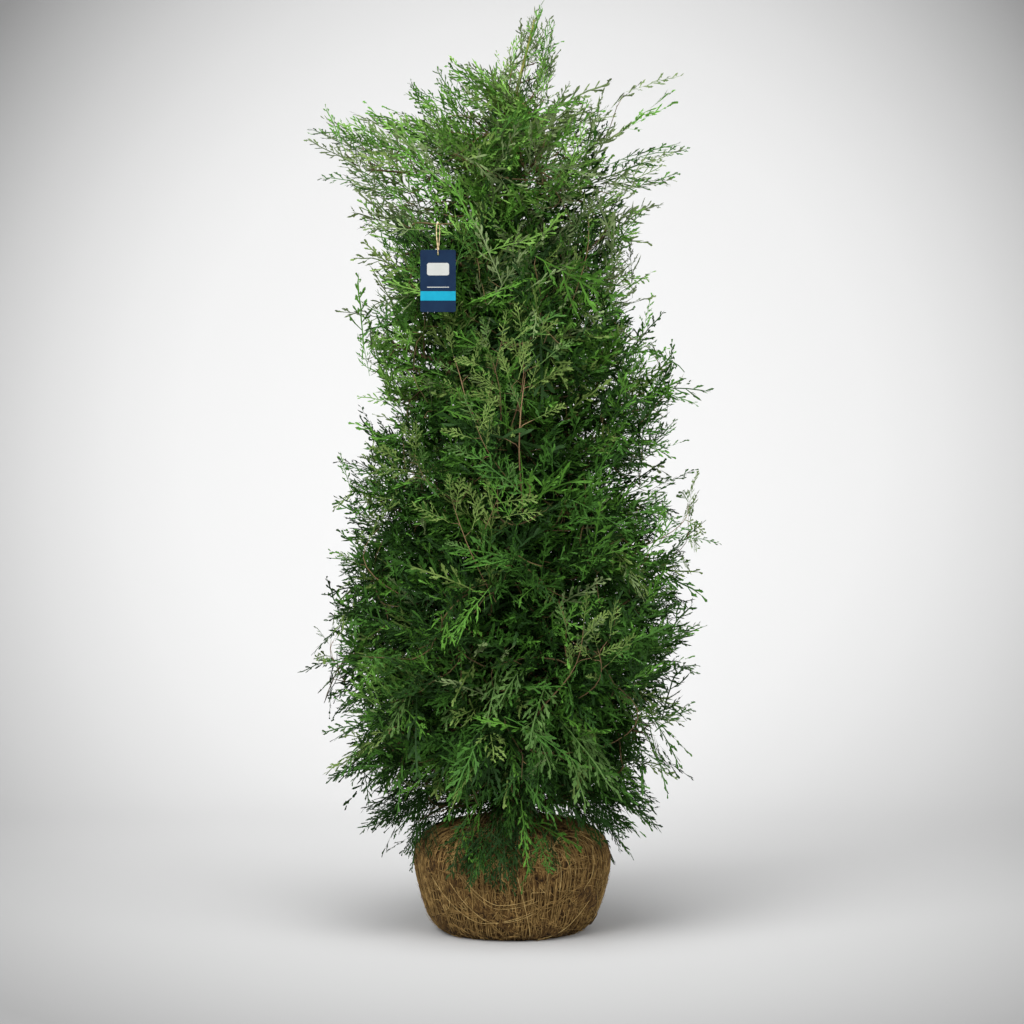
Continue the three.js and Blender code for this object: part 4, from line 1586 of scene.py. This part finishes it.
CORNER_STEPS = 8
CARD_CORNER = 0.003
CARD_EDGE = 0.00015  # by which its edges are rounded
HOLE_RADIUS = 0.0025
HOLE_INSET = 0.006  # from the card's top edge to the middle of the hole
PRINT_LIFT = 0.0003  # by which the printed plates are thicker than the card
PRINT_MARGIN = 0.0003  # of card at each end of the band
PANEL_SHARE = 0.62  # of the card's width


def rounded_outline(width, height, radius):
    """Points round a rectangle with round corners, anticlockwise from its right side."""
    points = []
    for corner, (sx, sz) in enumerate(((1, 1), (-1, 1), (-1, -1), (1, -1))):
        centre = np.array([sx * (width / 2 - radius), sz * (height / 2 - radius)])
        for k in range(CORNER_STEPS + 1):
            angle = (corner + k / CORNER_STEPS) * pi / 2
            points.append(centre + radius * compass(angle)[:2])
    return np.array(points)


def add_plate(name, outline, thickness, centre, finish, hole=None, soft_edge=0.0, nodes=()):
    """A flat plate that stands upright, with a fine rounded edge and perhaps a round hole. The
    hole is its middle and radius; every ring of points has one point for each of the outline."""
    middle, radius = hole or (np.zeros(2), 0.0)
    bore = middle + units(outline - middle) * radius
    half = thickness / 2
    inset = outline - units(outline) * soft_edge
    layers = [(bore, -half), (inset, -half), (outline, -half + soft_edge)]
    layers += [(outline, half - soft_edge), (inset, half), (bore, half)]
    points = [np.insert(ring, 1, depth, axis=1) for ring, depth in layers]
    triangles = bands(len(layers), len(outline), closed=hole is not None)
    points = np.concatenate(points) + centre
    add_piece(name, points, triangles, finish, "label_card", nodes).data.shade_flat()


def make_label():
    """A card with a plain panel, band and line, which bear no writing."""
    low, high = box_of("label_card")
    centre = (low + high) / 2
    width, thickness, height = high - low
    navy = card_finish("navy_card", (8, 28, 52), (12, 34, 58), 0.42)
    white = card_finish("white_print", (160, 162, 158), (168, 169, 166), 0.5)
    blue = card_finish("turquoise_print", (10, 122, 148), (16, 136, 162), 0.42)
    hole = (np.array([0.0, height / 2 - HOLE_INSET]), HOLE_RADIUS)
    outline = rounded_outline(width, height, CARD_CORNER)
    add_plate("label_print", outline, thickness, centre, navy, hole, CARD_EDGE, ["label_card"])
    for name, wide, tall, radius, level, finish in (
        ("label_panel", width * PANEL_SHARE, 0.2, 0.003, 0.19, white),
        ("label_band", width - 2 * PRINT_MARGIN, 0.15, 0.0002, -0.24, blue),
        ("label_line", width * PANEL_SHARE, 0.012, 0.0004, -0.1, white),
    ):
        outline = rounded_outline(wide, height * tall, radius)
        place = centre + level * height * UP
        add_plate(name, outline, thickness + PRINT_LIFT, place, finish)


STRING_STEPS = 60
STRING_TWIST = 9  # turns of its two plies round each other
STRING_OPEN = 0.0035  # how far each side of the loop stands from the middle at the top
STRING_SIDES = 6
STRING_RADIUS = 0.0008
PLY_RADIUS = 0.00042
PLY_OFFSET = 0.00038  # of each ply from the string's middle


def make_string():
    """A loop of two-ply string through the card's hole and over a twig."""
    low, high = box_of("label_string")
    middle = (low + high) / 2
    half = (high - low) / 2 - STRING_RADIUS
    t = np.linspace(0, 2 * pi, STRING_STEPS, endpoint=False)
    up = -np.cos(t)
    rise = 0.5 + 0.5 * up
    x = middle[0] + STRING_OPEN * np.sin(t) * rise
    y = middle[1] + half[1] * np.sin(t) * (1 - 0.55 * rise)
    line = np.column_stack([x, y, middle[2] + half[2] * up])
    ways = units(np.roll(line, -1, axis=0) - np.roll(line, 1, axis=0))
    first = units(np.cross(ways, (1.0, 0.0, 0.0)))
    second = np.cross(ways, first)
    heap = Heap()
    for start in (0, pi):
        turn = (STRING_TWIST * t + start)[:, None]
        core = line + PLY_OFFSET * (np.cos(turn) * first + np.sin(turn) * second)
        points = rings_round(core, first, second, PLY_RADIUS, STRING_SIDES)
        heap.add((points, bands(STRING_STEPS, STRING_SIDES, closed=True)))
    finish = fibre_finish("straw_string", (176, 152, 110), (214, 196, 158), 300)
    heap.build("label_twine", finish, "label_string", ["label_string"])


# ---- Floor, camera and light -----------------------------------------------------------------

PAPER_CENTRE = (0.04, 2.6, 0.78)
PAPER_SPREAD = (1.67, 4.1, 1.65)  # how soon it darkens across, towards the front, and upwards
PAPER_REACH = 1.6
# tone of the paper by its share of that spread, up to the reach: painted light fall-off,
# brightest behind the plant and darker farther out
PAINTED_FALLOFF_TONES = [
    (0.3, 0.67),
    (0.5, 0.652),
    (0.6, 0.616),
    (0.7, 0.552),
    (0.8, 0.462),
    (0.9, 0.348),
    (1.0, 0.222),
    (1.2, 0.222),
    (1.6, 0.42),
]
PAPER_WIDTH = 9.0
PAPER_FRONT = -6.0
PAPER_TOP = 6.0
BEND_START = 1.2  # where the floor begins to sweep up
BEND_RADIUS = 1.6
BEND_STEPS = 24


def paper_finish():
    """Pale paper, darker far out as painted light fall-off. Its back is left out, so that it hides
    nothing when the plant is seen over it."""
    finish = Finish("studio_paper", 0.9, 0.1)
    place = finish.node("VectorMath", {0: finish.place, 1: PAPER_CENTRE}, 0, "SUBTRACT")
    share = finish.node("VectorMath", {0: place, 1: PAPER_SPREAD}, 0, "DIVIDE")
    reach = finish.node("VectorMath", {0: share}, "Value", "LENGTH")
    span = finish.node("MapRange", {"Value": reach, "From Max": PAPER_REACH}, "Result")
    stops = [(reach / PAPER_REACH, (tone, tone, tone, 1)) for reach, tone in PAINTED_FALLOFF_TONES]
    finish.colours(span, stops)
    back = finish.node("NewGeometry", {}, "Backfacing")
    clear = finish.node("BsdfTransparent", {}, "BSDF")
    sides = {"Fac": back, 1: finish.shader.outputs["BSDF"], 2: clear}
    surface = finish.node("MixShader", sides, "Shader")
    finish.feed(finish.tree.nodes["Material Output"], {"Surface": surface})
    return finish.material


def studio():
    """A pale floor that sweeps up into a wall behind the plant."""
    profile = [(PAPER_FRONT, 0.0), (BEND_START, 0.0)]
    for angle in np.linspace(0, pi / 2, BEND_STEPS + 1)[1:]:
        profile.append((BEND_START + BEND_RADIUS * sin(angle), BEND_RADIUS * (1 - cos(angle))))
    profile.append((BEND_START + BEND_RADIUS, PAPER_TOP))
    half = PAPER_WIDTH / 2
    points = [(x, y, z) for y, z in profile for x in (-half, half)]
    floor = mesh_object("studio_floor", points, ladder(len(profile)), paper_finish())


LIGHTS = (
    # name, place, target, size and power
    ("key", (-1.9, -2.6, 2.9), (0, 0, 0.8), 2.6, 145),
    ("fill", (2.4, -2.2, 1.6), (0, 0, 0.7), 2.6, 54),
    ("top", (0, -1.0, 3.1), (0, 0, 0.4), 2.0, 75),
)
SKY_STRENGTH = 0.6
EYE = (0.0, -4.2, 0.75)
LOOKS_AT = (0.0, 0.0, 0.6285)
FOCAL_LENGTH = 98.4
SENSOR_WIDTH = 36


def aimed(name, data, place, target):
    """A camera or a light at a place, turned towards a target."""
    made = bpy.data.objects.new(name, data)
    made.location = place
    made.rotation_euler = (Vector(target) - Vector(place)).to_track_quat("-Z", "Y").to_euler()
    bpy.context.scene.collection.objects.link(made)
    return made


def camera():
    data = bpy.data.cameras.new("camera")
    data.lens = FOCAL_LENGTH
    data.sensor_width = SENSOR_WIDTH
    bpy.context.scene.camera = aimed("camera", data, EYE, LOOKS_AT)


def light():
    world = bpy.data.worlds.new("studio")
    world.use_nodes = True
    background = world.node_tree.nodes["Background"]
    background.inputs["Color"].default_value = (1, 1, 1, 1)
    background.inputs["Strength"].default_value = SKY_STRENGTH
    bpy.context.scene.world = world
    for name, place, target, size, power in LIGHTS:
        data = bpy.data.lights.new(name, "AREA")
        data.shape = "DISK"
        data.size = size
        data.energy = power
        aimed(name, data, place, target)


# ---- The scene -------------------------------------------------------------------------------

crown = grow_crown()
make_ball()
make_label()
make_string()
make_stem()
add_crown(crown)
studio()
camera()
light()
bpy.context.scene.view_settings.view_transform = "Standard"
